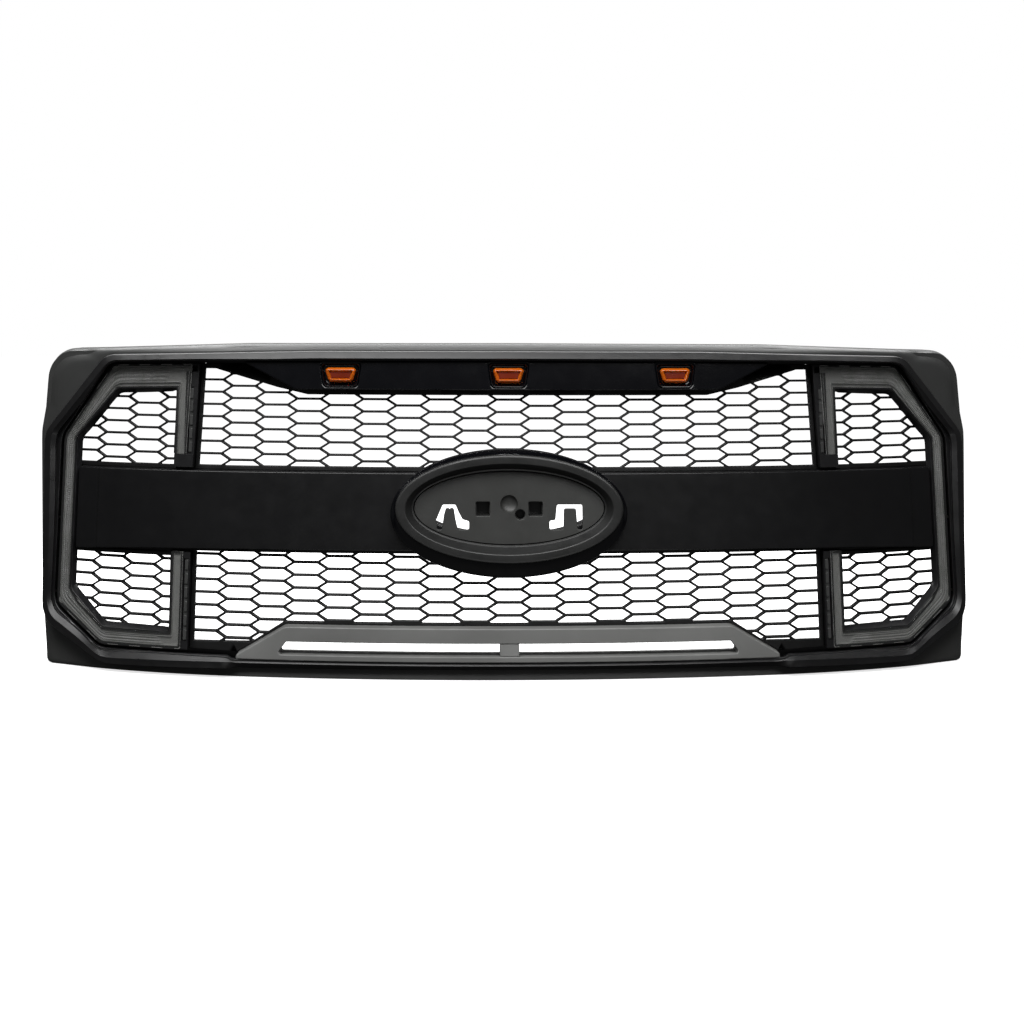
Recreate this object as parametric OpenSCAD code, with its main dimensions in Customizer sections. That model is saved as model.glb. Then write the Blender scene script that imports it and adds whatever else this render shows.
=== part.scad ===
// Front grille: a moulded shell with a rim, a honeycomb mesh, a crossbar with an emblem
// recess, and a running lamp in each side.  X runs across, the front faces -Y, Z is up.
// Outlines are drawn in the X-Z plane and projected along Y onto one front surface, which is
// two tangent arcs in plan and leans back.  A depth is measured square to that surface from
// the face of the mesh: minus is towards the front, plus is towards the rear.

/* [Overall] */
// Width across the widest part of the shell
overall_w = 1224; // [1020:1:1470]
// Width of the shell along its bottom edge
bottom_w = 1175; // [980:1:1410]
// Height of the shell at the middle
overall_h = 405; // [337:1:486]
// How much lower the ends of the top edge are than its middle
crown = 8; // [0:1:20]
// Height at which the shell is widest
waist_z = 290; // [240:1:340]
// Radius of the upper corners of the shell
corner_r = 42; // [20:1:60]

/* [Front surface] */
// Angle that the front leans back
lean = 17.2; // [8:0.1:24]
// Plan radius of the middle of the front
front_radius = 2300; // [1800:10:3000]
// Distance from the middle at which the ends start to sweep back
wing_start = 330; // [260:1:400]
// Plan radius of the swept ends
wing_radius = 900; // [700:10:1200]

/* [Shell] */
// Thickness of the shell's walls
shell_wall = 3.5; // [2.5:0.1:5]
// Depth of the shell's front lip
shell_front = -10; // [-14:0.5:-8]
// Depth of the shell's rear edge
shell_back = 45; // [30:1:70]
// Width of the ledge inside the shell that carries the inner frame
ledge_w = 16; // [12:1:24]
// Width of the shell's lip that shows above the rim
lip_top = 10; // [6:0.5:16]
// Width of the shell's lip that shows beside the rim
lip_side = 10; // [6:0.5:16]
// Height of the shell's lip that shows below the rim at the middle
lip_bottom = 17; // [10:0.5:24]

/* [Rim] */
// Depth of the rim's front face
rim_front = -26; // [-32:0.5:-20]
// Width of the rim at the sides
rim_side_w = 23; // [16:0.5:30]
// Width of the rim along the top
rim_top_w = 10.5; // [8:0.5:16]
// Width of the rim's slanted upper corners, measured across
corner_w = 85; // [60:1:120]
// Height of the rim's slanted upper corners
corner_h = 98; // [70:1:130]
// Wall of the rim moulding
rim_wall = 3; // [2:0.1:4]

/* [Mesh] */
// Distance between honeycomb columns
column_pitch = 42.1; // [34:0.1:50]
// Distance between honeycomb rows
row_pitch = 15.4; // [12:0.1:20]
// Length of the flat side of one honeycomb cell between web centres
cell_flat = 31.4; // [24:0.1:36]
// Width of the webs between the cells
web_w = 2.2; // [1.6:0.1:3]
// Depth of the mesh
mesh_d = 8; // [5:0.5:12]
// Solid border round each mesh
mesh_border = 5; // [3:0.5:9]

/* [Crossbar] */
// Height of the crossbar's lower edge at the middle
bar_low_z = 152; // [130:1:180]
// Height of the crossbar's face
bar_h = 94; // [80:1:113]
// How far the crossbar's lower edge falls towards its ends
bar_drop = 8; // [0:0.5:12]
// Depth of the crossbar's face
bar_front = -14; // [-18:0.5:-11]
// Wall of the crossbar
bar_wall = 3; // [2:0.1:4]

/* [Emblem] */
// Width of the emblem bezel
bezel_w = 280; // [240:1:320]
// Height of the emblem bezel seen from the front
bezel_h = 129; // [110:1:155]
// Width of the bezel ring seen from the front
bezel_rim = 12; // [8:0.5:16]
// Width of the sloping wall inside the bezel
bezel_slope = 10; // [6:0.5:14]
// Depth of the bezel's crest
bezel_front = -38; // [-46:0.5:-34]
// Depth of the emblem plate's rim, which the bezel presses on
floor_front = -24; // [-28:0.5:-22]
// Thickness of the emblem plate at its rim
floor_t = 3; // [2:0.1:4]
// How far the plate's floor stands up inside the bezel
floor_step = 1; // [0.5:0.1:2]
// Width of the dimple in the plate's floor
dimple_w = 21.8; // [12:0.1:24]
// Depth of the dimple
dimple_d = 2.8; // [1:0.1:3]
// Side of the two square emblem holes
square_hole = 17.5; // [14:0.1:21]
// Diameter of the round emblem hole
round_hole_d = 12.6; // [8:0.1:16]
// Distance from the middle to each clip cut-out
clip_x = 70; // [60:0.5:84]
// Width of each clip cut-out
clip_w = 42; // [34:0.5:50]
// Height of each clip cut-out
clip_h = 30; // [24:0.5:36]

/* [Running lamps] */
// Width of the slanted and upright lamp arms
lamp_arm_w = 18; // [14:0.5:24]
// Height of the lamp's upper arm
lamp_top_h = 29; // [22:0.5:36]
// Height of the lamp's lower arm
lamp_low_h = 20; // [16:0.5:26]
// Distance from the middle to the lamp's inner post
post_x = 398; // [340:1:430]
// Width of the dark strip on the inner post
strip_w = 10; // [8:0.5:14]
// Width of the lens on the inner post
post_lens_w = 15; // [12:0.5:20]
// Depth of the lamp lens
lens_front = -14; // [-18:0.5:-12.5]
// Thickness of the lamp lens
lens_t = 2.7; // [2:0.1:3.2]
// Wall of the lamp housing
lamp_wall = 2.5; // [1.8:0.1:3]
// Width of the light guide
guide_w = 7; // [4:0.5:9]
// Distance between the light sources
chip_pitch = 16.7; // [10:0.1:30]

/* [Marker lamps] */
// Distance from the middle to the outer marker lamps
marker_x = 211; // [180:1:240]
// Width of a marker lamp lens along its top edge
marker_w = 39; // [30:0.5:46]
// Height of a marker lamp lens
marker_h = 18.5; // [14:0.5:22]
// How much narrower the lens is at its bottom edge, each side
marker_taper = 5; // [2:0.5:8]
// Border of the marker lamp housing round its lens
marker_border = 2.2; // [1.5:0.1:4]

/* [Brow and valance] */
// Height of the brow panel
brow_h = 37; // [30:0.5:44]
// Half the width of the brow panel along its bottom edge
brow_half_w = 268; // [235:1:300]
// Width of the slanted ends of the brow panel
brow_slant = 56; // [30:1:70]
// Depth of the brow panel's face
brow_front = -20; // [-24:0.5:-16]
// Thickness of the brow panel and the valance
panel_wall = 3; // [2:0.1:4]
// Height of the valance's upper edge
valance_top = 61; // [54:0.5:73]
// Half the width of the valance along its upper edge
valance_half_w = 276; // [230:1:310]
// Width of the slanted ends of the valance
valance_slant = 60; // [40:1:75]
// Depth of the valance's face
valance_front = -15; // [-19:0.5:-12]
// Height of the slot's lower edge
slot_low_z = 28; // [26:0.5:32]
// Height of the slot
slot_h = 15; // [12:0.5:18]
// Half the width of the slot along its upper edge
slot_half_w = 274; // [230:1:300]
// Width of the divider in the middle of the slot
divider_w = 23.6; // [18:0.2:30]

/* [Fixings] */
// Diameter of the screw shanks
screw_d = 4.2; // [3:0.1:5]
// Diameter of the screw heads
screw_head_d = 9; // [7:0.1:11]
// Bolt hole of the mounting brackets
bracket_hole_d = 8.5; // [6:0.1:10]
// Width of a mounting bracket
bracket_w = 32; // [24:0.5:40]
// Thickness of a mounting bracket
bracket_t = 2.5; // [2:0.1:4]
// How far a mounting bracket reaches out behind the shell
bracket_reach = 28; // [22:0.5:40]
// Distance from the middle to each inner bracket
bracket_inner_x = 170; // [120:1:220]
// Distance from the middle to each outer bracket
bracket_outer_x = 430; // [380:1:470]
// Gap left between pieces that seat on each other
seat_gap = 0.3; // [0.1:0.05:0.5]

/* [Hidden] */

left = -1;
right = 1;
reach = 700;
half_w = overall_w / 2;
shell_top = overall_h;
frame_front = mesh_d + seat_gap;
frame_back = frame_front + 4;
ledge_front = frame_back + seat_gap;
ledge_back = ledge_front + 3;
wing_turn = asin(wing_start / front_radius);
wing_x = (front_radius - wing_radius) * sin(wing_turn);
wing_y = front_radius - (front_radius - wing_radius) * cos(wing_turn);
wing_sweep = asin((half_w + 60 - wing_x) / wing_radius) - wing_turn;
wing_steps = 12;
middle_steps = 16;

rim_seat = 3;
rim_top = shell_top - lip_top;
rim_side = half_w - lip_side;
open_top = rim_top - rim_top_w;
open_side = rim_side - rim_side_w;
bar_top_z = bar_low_z + bar_h;
bar_half_w = open_side - lamp_arm_w - 8;
lens_back = lens_front + lens_t;
board_back = mesh_d - lamp_wall - seat_gap;
board_front = board_back - 1.6;
chip_front = board_front - 1.2;
post_w = strip_w + post_lens_w;
post_gap_low = bar_low_z - bar_drop * 0.5 - 2;
post_gap_top = bar_top_z + 3.5;
marker_z = open_top - 18.5;
emblem_z = bar_low_z + bar_h * 0.57;

// ---- outlines ---------------------------------------------------------------

function unit(v) = v / norm(v);

// Points of an arc of radius r that rounds the corner b between a and c.
function corner_arc(a, b, c, r, steps) =
    let (u = unit(a - b), v = unit(c - b))
    let (turn = acos(u * v) / 2)
    let (centre = b + unit(u + v) * r / sin(turn))
    let (from = b + u * r / tan(turn) - centre, to = b + v * r / tan(turn) - centre)
    [for (i = [0:steps]) centre + r * unit(from * (steps - i) + to * i)];

// A half outline from the bottom middle to the top middle, joined to its mirror image.
function both_halves(half) = concat(half, [for (i = [len(half) - 1:-1:0]) [-half[i][0], half[i][1]]]);

shell_points = both_halves(concat(
    [[0, 0], [bottom_w / 2, 0], [(bottom_w * 0.45 + overall_w * 0.55) / 2, waist_z * 0.42]],
    [[half_w, waist_z]],
    corner_arc([half_w, waist_z], [half_w - 4, shell_top - crown - 2],
        [half_w - 80, shell_top - crown], corner_r, 8),
    [[half_w - 80, shell_top - crown], [half_w * 0.55, shell_top - 1.2], [0, shell_top]]
));

module shell_outline() {
    polygon(shell_points);
}

module rim_outline() {
    low_side = bottom_w / 2 + 5;
    polygon(both_halves([
        [0, lip_bottom], [half_w * 0.52, lip_bottom - 3], [low_side - 87, lip_bottom - 7],
        [low_side, lip_bottom + 40], [rim_side, waist_z - 2],
        [rim_side - corner_w, waist_z - 2 + corner_h * (rim_top - waist_z) / 107],
        [half_w * 0.4, rim_top - 1], [0, rim_top]
    ]));
}

module rim_opening() {
    polygon(both_halves([
        [0, lip_bottom + 3.5], [valance_half_w + valance_slant + 2, lip_bottom + 3.5],
        [valance_half_w + valance_slant + 10, lip_bottom + 8],
        [open_side - 65, lip_bottom + 9], [open_side, lip_bottom + 57], [open_side, waist_z - 6],
        [open_side - 66, open_top - 4.5], [post_x, open_top - 2], [0, open_top]
    ]));
}

// Outer edge of the lamp on the right-hand side.
module lamp_outline() {
    inset = 3;
    polygon([
        [post_x, lip_bottom + 12], [open_side - 66, lip_bottom + 12.5],
        [open_side - inset, lip_bottom + 59], [open_side - inset, waist_z - 6],
        [open_side - 68, open_top - 8], [post_x - 5, open_top - 6], [post_x, bar_top_z + 4]
    ]);
}

// Edge of the pocket that the lamp on the right-hand side runs round.
module pocket_outline() {
    side = open_side - 3 - lamp_arm_w;
    near = post_x + post_w;
    polygon([
        [near, lip_bottom + 12 + lamp_low_h], [side - 47, lip_bottom + 12.5 + lamp_low_h],
        [side - 12, lip_bottom + 61], [side, lip_bottom + 78], [side, waist_z - 8],
        [side - 55, open_top - 10 - lamp_top_h], [near, open_top - 8 - lamp_top_h]
    ]);
}

module bar_outline() {
    polygon(both_halves([
        [0, bar_low_z], [bar_half_w * 0.6, bar_low_z - 1], [bar_half_w * 0.82, bar_low_z - 3],
        [bar_half_w, bar_low_z - bar_drop], [bar_half_w, bar_top_z], [0, bar_top_z]
    ]));
}

module brow_outline() {
    low = open_top - brow_h;
    ring = seat_gap;
    polygon(both_halves([
        [0, low], [brow_half_w, low], [brow_half_w + brow_slant, open_top - 9],
        [brow_half_w + brow_slant + 14, open_top - ring - 1.8], [0, open_top - ring]
    ]));
}

module valance_outline() {
    polygon(both_halves([
        [0, lip_bottom + 3.5 + seat_gap], [valance_half_w + valance_slant, lip_bottom + 3.5 + seat_gap],
        [valance_half_w + valance_slant, lip_bottom + 9], [valance_half_w, valance_top], [0, valance_top]
    ]));
}

module slot_outline(grow = 0) {
    polygon(both_halves([
        [0, slot_low_z - grow], [slot_half_w + 11 + grow, slot_low_z - grow],
        [slot_half_w + grow, slot_low_z + slot_h + grow], [0, slot_low_z + slot_h + grow]
    ]));
}

module marker_outline(grow = 0) {
    top = marker_w / 2 + grow;
    low = top - marker_taper;
    high = marker_h / 2 + grow;
    chamfer = 3;
    polygon(both_halves([
        [0, -high], [low - chamfer, -high], [low, -high + chamfer], [top, high - chamfer],
        [top - chamfer, high], [0, high]
    ]));
}

ellipse_steps = 72;
function ellipse_points(w, h) =
    [for (i = [0:ellipse_steps - 1]) let (turn = i * 360 / ellipse_steps) [w / 2 * cos(turn), h / 2 * sin(turn)]];

module ellipse(w, h) {
    polygon(ellipse_points(w, h));
}

// One open honeycomb cell, inset from its web centres by half a web.
module cell() {
    half_h = row_pitch / 2;
    tip = column_pitch - cell_flat / 2;
    run = tip - cell_flat / 2;
    slant = norm([run, half_h]);
    tip_x = tip - web_w / 2 * slant / half_h;
    edge_z = half_h - web_w / 2;
    edge_x = tip_x - edge_z * run / half_h;
    polygon([[tip_x, 0], [edge_x, edge_z], [-edge_x, edge_z], [-tip_x, 0], [-edge_x, -edge_z], [edge_x, -edge_z]]);
}

// The outline in children(0) as a honeycomb, with a solid border outside children(1).
module honeycomb(columns, rows) {
    difference() {
        children(0);
        offset(delta = -0.02) children(1);
    }
    difference() {
        offset(delta = -1) children(0);
        for (column = columns, row = rows) {
            shift = 0.25 - (abs(column) % 2) * 0.5;
            translate([column * column_pitch, (row + shift) * row_pitch]) cell();
        }
    }
}

// ---- the curved, leaning front surface ---------------------------------------

// Points of the front's section at one depth, from the left end to the right end.
function section_line(depth) =
    let (wing = [for (i = [0:wing_steps])
        let (turn = wing_turn + i * wing_sweep / wing_steps)
        [wing_x + (wing_radius - depth) * sin(turn), wing_y - (wing_radius - depth) * cos(turn)]])
    let (middle = [for (i = [1:middle_steps - 1])
        let (turn = wing_turn * (2 * i / middle_steps - 1))
        [(front_radius - depth) * sin(turn), front_radius - (front_radius - depth) * cos(turn)]])
    concat([for (i = [wing_steps:-1:0]) [-wing[i][0], wing[i][1]]], middle, wing);

// Section of the front between two depths, seen along the lean.
module section(front, back) {
    rear = section_line(back);
    polygon(concat(section_line(front), [for (i = [len(rear) - 1:-1:0]) rear[i]]));
}

// The outline in children(), projected onto the front between two depths.
module layer(front, back) {
    intersection() {
        rotate([-lean, 0, 0]) translate([0, 0, -reach / 2]) linear_extrude(2 * reach) section(front, back);
        rotate([90, 0, 0]) linear_extrude(2 * reach, center = true) children();
    }
}

// Place children() at a depth behind the point (x, z) of the front surface, with their own
// Y axis square to it.
module on_surface(x, z, depth = 0) {
    wing = abs(x) > wing_start;
    side = x < 0 ? left : right;
    radius = wing ? wing_radius : front_radius;
    off = wing ? abs(x) - wing_x : abs(x);
    section_y = (wing ? wing_y : front_radius) - sqrt(radius * radius - off * off);
    up = (z + section_y * sin(lean)) / cos(lean);
    rotate([-lean, 0, 0]) translate([x, section_y, up]) rotate([0, 0, side * asin(off / radius)])
        translate([0, depth, 0]) children();
}

function surface_y(x, z, depth) =
    let (wing = abs(x) > wing_start)
    let (radius = (wing ? wing_radius : front_radius) - depth)
    let (off = wing ? abs(x) - wing_x : abs(x))
    ((wing ? wing_y : front_radius) - sqrt(radius * radius - off * off)) / cos(lean) + z * tan(lean);

// Halfway between the foremost edge of the rim and the rearmost edge of the shell.
middle_y = (surface_y(0, lip_bottom, rim_front)
    + max([for (point = shell_points) surface_y(point[0], point[1], shell_back)])) / 2;

module at_origin() {
    translate([0, -middle_y, 0]) children();
}

// The outline in children() between two depths of the flat plane that touches the middle of
// the front surface.
module flat_layer(front, back) {
    intersection() {
        rotate([-lean, 0, 0]) translate([-reach / 2, front, -reach / 2]) cube([reach, back - front, 2 * reach]);
        rotate([90, 0, 0]) linear_extrude(2 * reach, center = true) children();
    }
}

module emblem_block(w, h, front, back, lift = 0) {
    flat_layer(front, back) translate([0, emblem_z + lift]) ellipse(w, h);
}

module screw(shank_l) {
    head_t = 2.6;
    rotate([90, 0, 0]) cylinder(d = screw_d, h = shank_l, $fn = 32);
    rotate([-90, 0, 0]) difference() {
        cylinder(d = screw_head_d, h = head_t, $fn = 40);
        translate([0, 0, head_t - 1.4]) cylinder(d = 4.6, h = 2, $fn = 6);
    }
}

module screw_hole() {
    rotate([90, 0, 0]) cylinder(d = screw_d + 2 * seat_gap, h = 60, center = true, $fn = 32);
}

// ---- where the fixings sit ---------------------------------------------------

ledge_rise = ledge_back * sin(lean);
frame_screw_places = [
    for (t = [-0.78, -0.49, -0.16, 0.16, 0.49, 0.78])
        [t * half_w, shell_top - crown * t * t - shell_wall - ledge_w / 2 + ledge_rise],
    for (t = [-0.85, -0.51, -0.17, 0.17, 0.51, 0.85])
        [t * bottom_w / 2, shell_wall + ledge_w / 2 + ledge_rise],
    for (side = [left, right], t = [0.3, 0.62])
        [side * ((bottom_w * 0.45 + overall_w * 0.55) / 2 - shell_wall - ledge_w / 2), waist_z * t]
];
beam_screw_places = [
    for (x = [-0.9, -0.62, -0.4, 0.4, 0.62, 0.9] * bar_half_w, z = [bar_low_z + 14, bar_top_z - 14]) [x, z]
];
bump_places = [
    for (side = [left, right], z = [bar_low_z + 22, bar_top_z - 22]) [side * (post_x + post_w / 2), z]
];

// ---- shell, frame and trims ----------------------------------------------------

module outer_shell() {
    color("#26282a") at_origin() difference() {
        layer(shell_front, shell_back) shell_outline();
        layer(shell_front + shell_wall, ledge_front) offset(delta = -shell_wall) shell_outline();
        layer(ledge_back, shell_back + 40) offset(delta = -shell_wall) shell_outline();
        layer(shell_front - 20, shell_front + shell_wall + 1) offset(delta = -rim_seat) rim_outline();
        layer(ledge_front - 1, ledge_back + 1) offset(delta = -shell_wall - ledge_w) shell_outline();
        for (place = frame_screw_places) on_surface(place[0], place[1]) screw_hole();
    }
}

module inner_frame() {
    post_room = 2;
    color("#1b1c1e") at_origin() difference() {
        layer(frame_front, frame_back) offset(delta = -shell_wall - seat_gap) shell_outline();
        layer(frame_front - 1, frame_back + 1) offset(delta = post_room) upper_window();
        layer(frame_front - 1, frame_back + 1) offset(delta = post_room) lower_window();
        layer(frame_front - 1, frame_back + 1) slot_outline(panel_wall + 0.6);
        for (side = [left, right]) mirror([side == left ? 1 : 0, 0, 0]) {
            layer(frame_front - 1, frame_back + 1) offset(delta = post_room) upper_corner_window();
            layer(frame_front - 1, frame_back + 1) offset(delta = post_room) lower_corner_window();
            layer(frame_front - 1, frame_back + 1)
                translate([bezel_w / 2 + 30, bar_low_z + 26]) square([post_x - bezel_w / 2 - 60, bar_h - 52]);
            layer(frame_front - 1, frame_back + 1)
                translate([post_x + post_w + 8, bar_low_z + 26]) square([bar_half_w * 0.85 - post_x - post_w, bar_h - 52]);
            on_surface(socket_x, socket_z) rotate([90, 0, 0]) cylinder(r = 12, h = 60, center = true, $fn = 48);
        }
        layer(frame_front - 1, frame_back + 1) emblem_window();
        for (place = frame_screw_places) on_surface(place[0], place[1]) screw_hole();
        for (place = beam_screw_places) on_surface(place[0], place[1])
            rotate([90, 0, 0]) cylinder(d = screw_head_d + 2, h = 60, center = true, $fn = 32);
    }
}

module rim_moulding() {
    color("#17181a") at_origin() difference() {
        layer(rim_front, shell_front - seat_gap) difference() {
            rim_outline();
            rim_opening();
        }
        layer(rim_front + rim_wall, 40) difference() {
            offset(delta = -rim_wall) rim_outline();
            offset(delta = rim_wall) rim_opening();
        }
    }
}

module brow_panel() {
    color("#0c0d0e") at_origin() difference() {
        layer(brow_front, -seat_gap) brow_outline();
        layer(brow_front + panel_wall, 30) difference() {
            offset(delta = -panel_wall) brow_outline();
            for (x = marker_row) translate([x, marker_z]) marker_outline(marker_border + seat_gap + panel_wall);
        }
        for (x = marker_row) layer(brow_front - 20, 30)
            translate([x, marker_z]) marker_outline(marker_border + seat_gap);
    }
}

module lower_valance() {
    color("#1d1e20") at_origin() difference() {
        layer(valance_front, frame_back + 3) valance_outline();
        layer(valance_front + panel_wall, 40) difference() {
            offset(delta = -panel_wall) valance_outline();
            slot_outline(panel_wall);
        }
        layer(frame_front - seat_gap, 40) difference() {
            valance_outline();
            slot_outline(panel_wall - 0.2);
        }
        layer(valance_front - 20, 40) slot_outline();
    }
}

module slot_divider() {
    color("#5d6063") at_origin() layer(valance_front + 1, frame_back) difference() {
        translate([-divider_w / 2, slot_low_z + seat_gap]) square([divider_w, slot_h - 2 * seat_gap]);
        translate([-divider_w / 2 + 3, slot_low_z - 1]) square([divider_w - 6, 4]);
    }
}

// ---- crossbar ------------------------------------------------------------------

module crossbar() {
    color("#0b0c0d") at_origin() difference() {
        layer(bar_front, mesh_d) bar_outline();
        layer(bar_front + bar_wall, 40) difference() {
            offset(delta = -bar_wall) bar_outline();
            for (place = beam_screw_places) translate([place[0], place[1]]) circle(r = 6, $fn = 32);
        }
        layer(beam_front - seat_gap, 40) offset(delta = -bar_wall) bar_outline();
        layer(bar_front - 20, 40) emblem_window();
        for (place = beam_screw_places) on_surface(place[0], place[1], bar_front + bar_wall + 3)
            rotate([-90, 0, 0]) cylinder(d = screw_d + 2 * seat_gap, h = 60, $fn = 32);
    }
}

beam_front = 1;

module crossbar_beam() {
    color("#3a3c3f") at_origin() difference() {
        layer(beam_front, mesh_d) offset(delta = -bar_wall - seat_gap) bar_outline();
        layer(beam_front + 3, 40) difference() {
            offset(delta = -bar_wall - seat_gap - 3) bar_outline();
            for (place = beam_screw_places) translate([place[0], place[1]]) circle(r = 7.5, $fn = 32);
        }
        layer(beam_front - 5, 40) emblem_window();
        for (place = beam_screw_places) on_surface(place[0], place[1]) screw_hole();
    }
}

// ---- emblem seat ---------------------------------------------------------------

module emblem_window() {
    translate([0, emblem_z]) ellipse(bezel_w - 60, bar_h - 24);
}

collar_front = bezel_front + 8;
recess_w = bezel_w - 2 * bezel_rim;
recess_h = bezel_h - 2 * bezel_rim + 4;
floor_w = recess_w - 2 * bezel_slope;
floor_h = recess_h - 2 * bezel_slope;

module emblem_collar() {
    flare_w = bezel_w + 13;
    flare_h = bezel_h + 25;
    color("#0a0b0c") at_origin() difference() {
        union() {
            emblem_block(bezel_w - 1, bezel_h - 1, collar_front + seat_gap, 6);
            emblem_block(flare_w, flare_h, -20, 6, -7.5);
        }
        emblem_block(recess_w - 1, recess_h - 1, bezel_front - 5, floor_front + floor_t + seat_gap);
        emblem_block(floor_w - 6, floor_h - 6, bezel_front - 5, 60);
        layer(bar_front - seat_gap, 40) offset(delta = seat_gap) bar_outline();
        layer(-seat_gap, 60) square([4 * bezel_w, 4 * bezel_h + 2 * emblem_z], center = true);
    }
}

// The sloping recess inside the bezel, run on a little past its front and its floor.
module bezel_recess(seat) {
    overrun = 0.15;
    steps = ellipse_steps;
    depth = seat - bezel_front;
    rings = [for (t = [-overrun, 1 + overrun])
        let (points = ellipse_points(recess_w + (floor_w - recess_w) * t, recess_h + (floor_h - recess_h) * t))
        [for (point = points) let (z = emblem_z + point[1])
            [point[0], (bezel_front + depth * t) / cos(lean) + z * tan(lean), z]]];
    polyhedron(concat(rings[0], rings[1]), concat(
        [[for (i = [steps - 1:-1:0]) i], [for (i = [0:steps - 1]) steps + i]],
        [for (i = [0:steps - 1]) [i, (i + 1) % steps, steps + i]],
        [for (i = [0:steps - 1]) [(i + 1) % steps, steps + (i + 1) % steps, steps + i]]
    ));
}

module emblem_bezel() {
    seat = floor_front - seat_gap;
    color("#0d0e0f") at_origin() difference() {
        union() {
            emblem_block(bezel_w, bezel_h, bezel_front, collar_front);
            emblem_block(recess_w - 1.6, recess_h - 1.6, collar_front - 1, seat);
        }
        bezel_recess(seat);
    }
}

// A clip cut-out: two legs joined at the top, with a foot on the outer leg.
module clip_cutout(slope) {
    leg = 9;
    bridge = 6;
    far = clip_w / 2 - 13;
    high = clip_h / 2;
    polygon([
        [-clip_w / 2 + slope, high], [far, high], [far, -high + 7], [clip_w / 2, -high + 4],
        [clip_w / 2, -high], [far - leg, -high], [far - leg, high - bridge],
        [-clip_w / 2 + slope + leg * 0.7, high - bridge], [-clip_w / 2 + leg, -high], [-clip_w / 2, -high]
    ]);
}

// The cut-outs for the emblem's clips and pegs.
module plate_holes() {
    translate([-clip_x, -11.5]) clip_cutout(10);
    translate([clip_x, -11.5]) mirror([1, 0]) clip_cutout(2);
    for (side = [left, right]) translate([32.5 * side, -1.3]) square(square_hole, center = true);
}

module emblem_plate() {
    face = floor_front - floor_step;
    ball_r = (dimple_w * dimple_w / 4 + dimple_d * dimple_d) / (2 * dimple_d);
    color("#202224") at_origin() difference() {
        union() {
            emblem_block(recess_w - 1.6, recess_h - 1.6, floor_front, floor_front + floor_t);
            emblem_block(floor_w - 2, floor_h - 2, face, floor_front + 1);
        }
        flat_layer(face - 5, floor_front + floor_t + 5) translate([0, emblem_z]) plate_holes();
        rotate([-lean, 0, 0]) translate([13.4, 0, locator_up]) rotate([90, 0, 0])
            cylinder(d = round_hole_d, h = reach, center = true, $fn = 48);
        rotate([-lean, 0, 0]) translate([-0.2, face + dimple_d - ball_r, dimple_up])
            sphere(r = ball_r, $fn = 64);
    }
}

// Height along the leaning plane of a point of the emblem's floor at the height z.
function along_lean(z) = (z + (floor_front - floor_step) * sin(lean)) / cos(lean);
locator_up = along_lean(emblem_z - 8.1);
dimple_up = along_lean(emblem_z + 4.6);

// ---- honeycomb meshes ----------------------------------------------------------

column_span = floor((post_x + 20) / column_pitch);
upper_first_row = floor(bar_top_z / row_pitch) - 1;
upper_last_row = ceil(open_top / row_pitch);
lower_first_row = floor(lip_bottom / row_pitch);
lower_last_row = ceil(bar_low_z / row_pitch);
corner_first = floor((post_x + post_w) / column_pitch);
corner_last = ceil(open_side / column_pitch);

module upper_sheet() {
    polygon(both_halves([
        [0, bar_top_z + seat_gap], [post_x - seat_gap, bar_top_z + seat_gap],
        [post_x - 5 - seat_gap, open_top - 6], [0, open_top - 4]
    ]));
}

module upper_window() {
    low = bar_top_z + mesh_border;
    polygon(both_halves([
        [0, low], [post_x - mesh_border, low], [post_x - 5 - mesh_border, open_top - 8],
        [brow_half_w + brow_slant + 44, open_top - 14], [brow_half_w + 26, open_top - brow_h + 2],
        [brow_half_w - 14, open_top - brow_h - 7], [0, open_top - brow_h - 7]
    ]));
}

module lower_sheet() {
    polygon(both_halves([
        [0, valance_top + seat_gap], [valance_half_w + 0.2, valance_top + seat_gap],
        [valance_half_w + valance_slant + seat_gap, lip_bottom + 10],
        [post_x - seat_gap, lip_bottom + 12], [post_x - seat_gap, bar_low_z - 2 - seat_gap],
        [bar_half_w * 0.6, bar_low_z - 1 - seat_gap], [0, bar_low_z - seat_gap]
    ]));
}

module lower_window() {
    polygon(both_halves([
        [0, valance_top + 3], [valance_half_w + 2, valance_top + 3],
        [valance_half_w + valance_slant - 18, lip_bottom + 22], [post_x - mesh_border, lip_bottom + 21],
        [post_x - mesh_border, bar_low_z - mesh_border - 1], [0, bar_low_z - mesh_border]
    ]));
}

module above_bar() {
    translate([0, bar_top_z + seat_gap]) square([half_w, half_w]);
}

module below_bar() {
    difference() {
        square([half_w, bar_low_z]);
        offset(delta = seat_gap) bar_outline();
    }
}

module corner_sheet() {
    offset(delta = -seat_gap) pocket_outline();
}

module upper_corner_window() {
    intersection() {
        offset(delta = -mesh_border * 0.5) pocket_outline();
        translate([0, mesh_border - seat_gap]) above_bar();
    }
}

module lower_corner_window() {
    intersection() {
        offset(delta = -mesh_border * 0.5) pocket_outline();
        square([half_w, bar_low_z - bar_drop - mesh_border]);
    }
}

module mesh_upper() {
    color("#101112") at_origin() layer(0, mesh_d)
        honeycomb([-column_span:column_span], [upper_first_row:upper_last_row]) {
            upper_sheet();
            upper_window();
        }
}

module mesh_lower() {
    color("#101112") at_origin() layer(0, mesh_d)
        honeycomb([-column_span:column_span], [lower_first_row:lower_last_row]) {
            lower_sheet();
            lower_window();
        }
}

module upper_corner_mesh(side) {
    color("#101112") at_origin() mirror([side == left ? 1 : 0, 0, 0]) layer(0, mesh_d)
        honeycomb([corner_first:corner_last], [upper_first_row:upper_last_row]) {
            intersection() {
                corner_sheet();
                above_bar();
            }
            upper_corner_window();
        }
}

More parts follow.
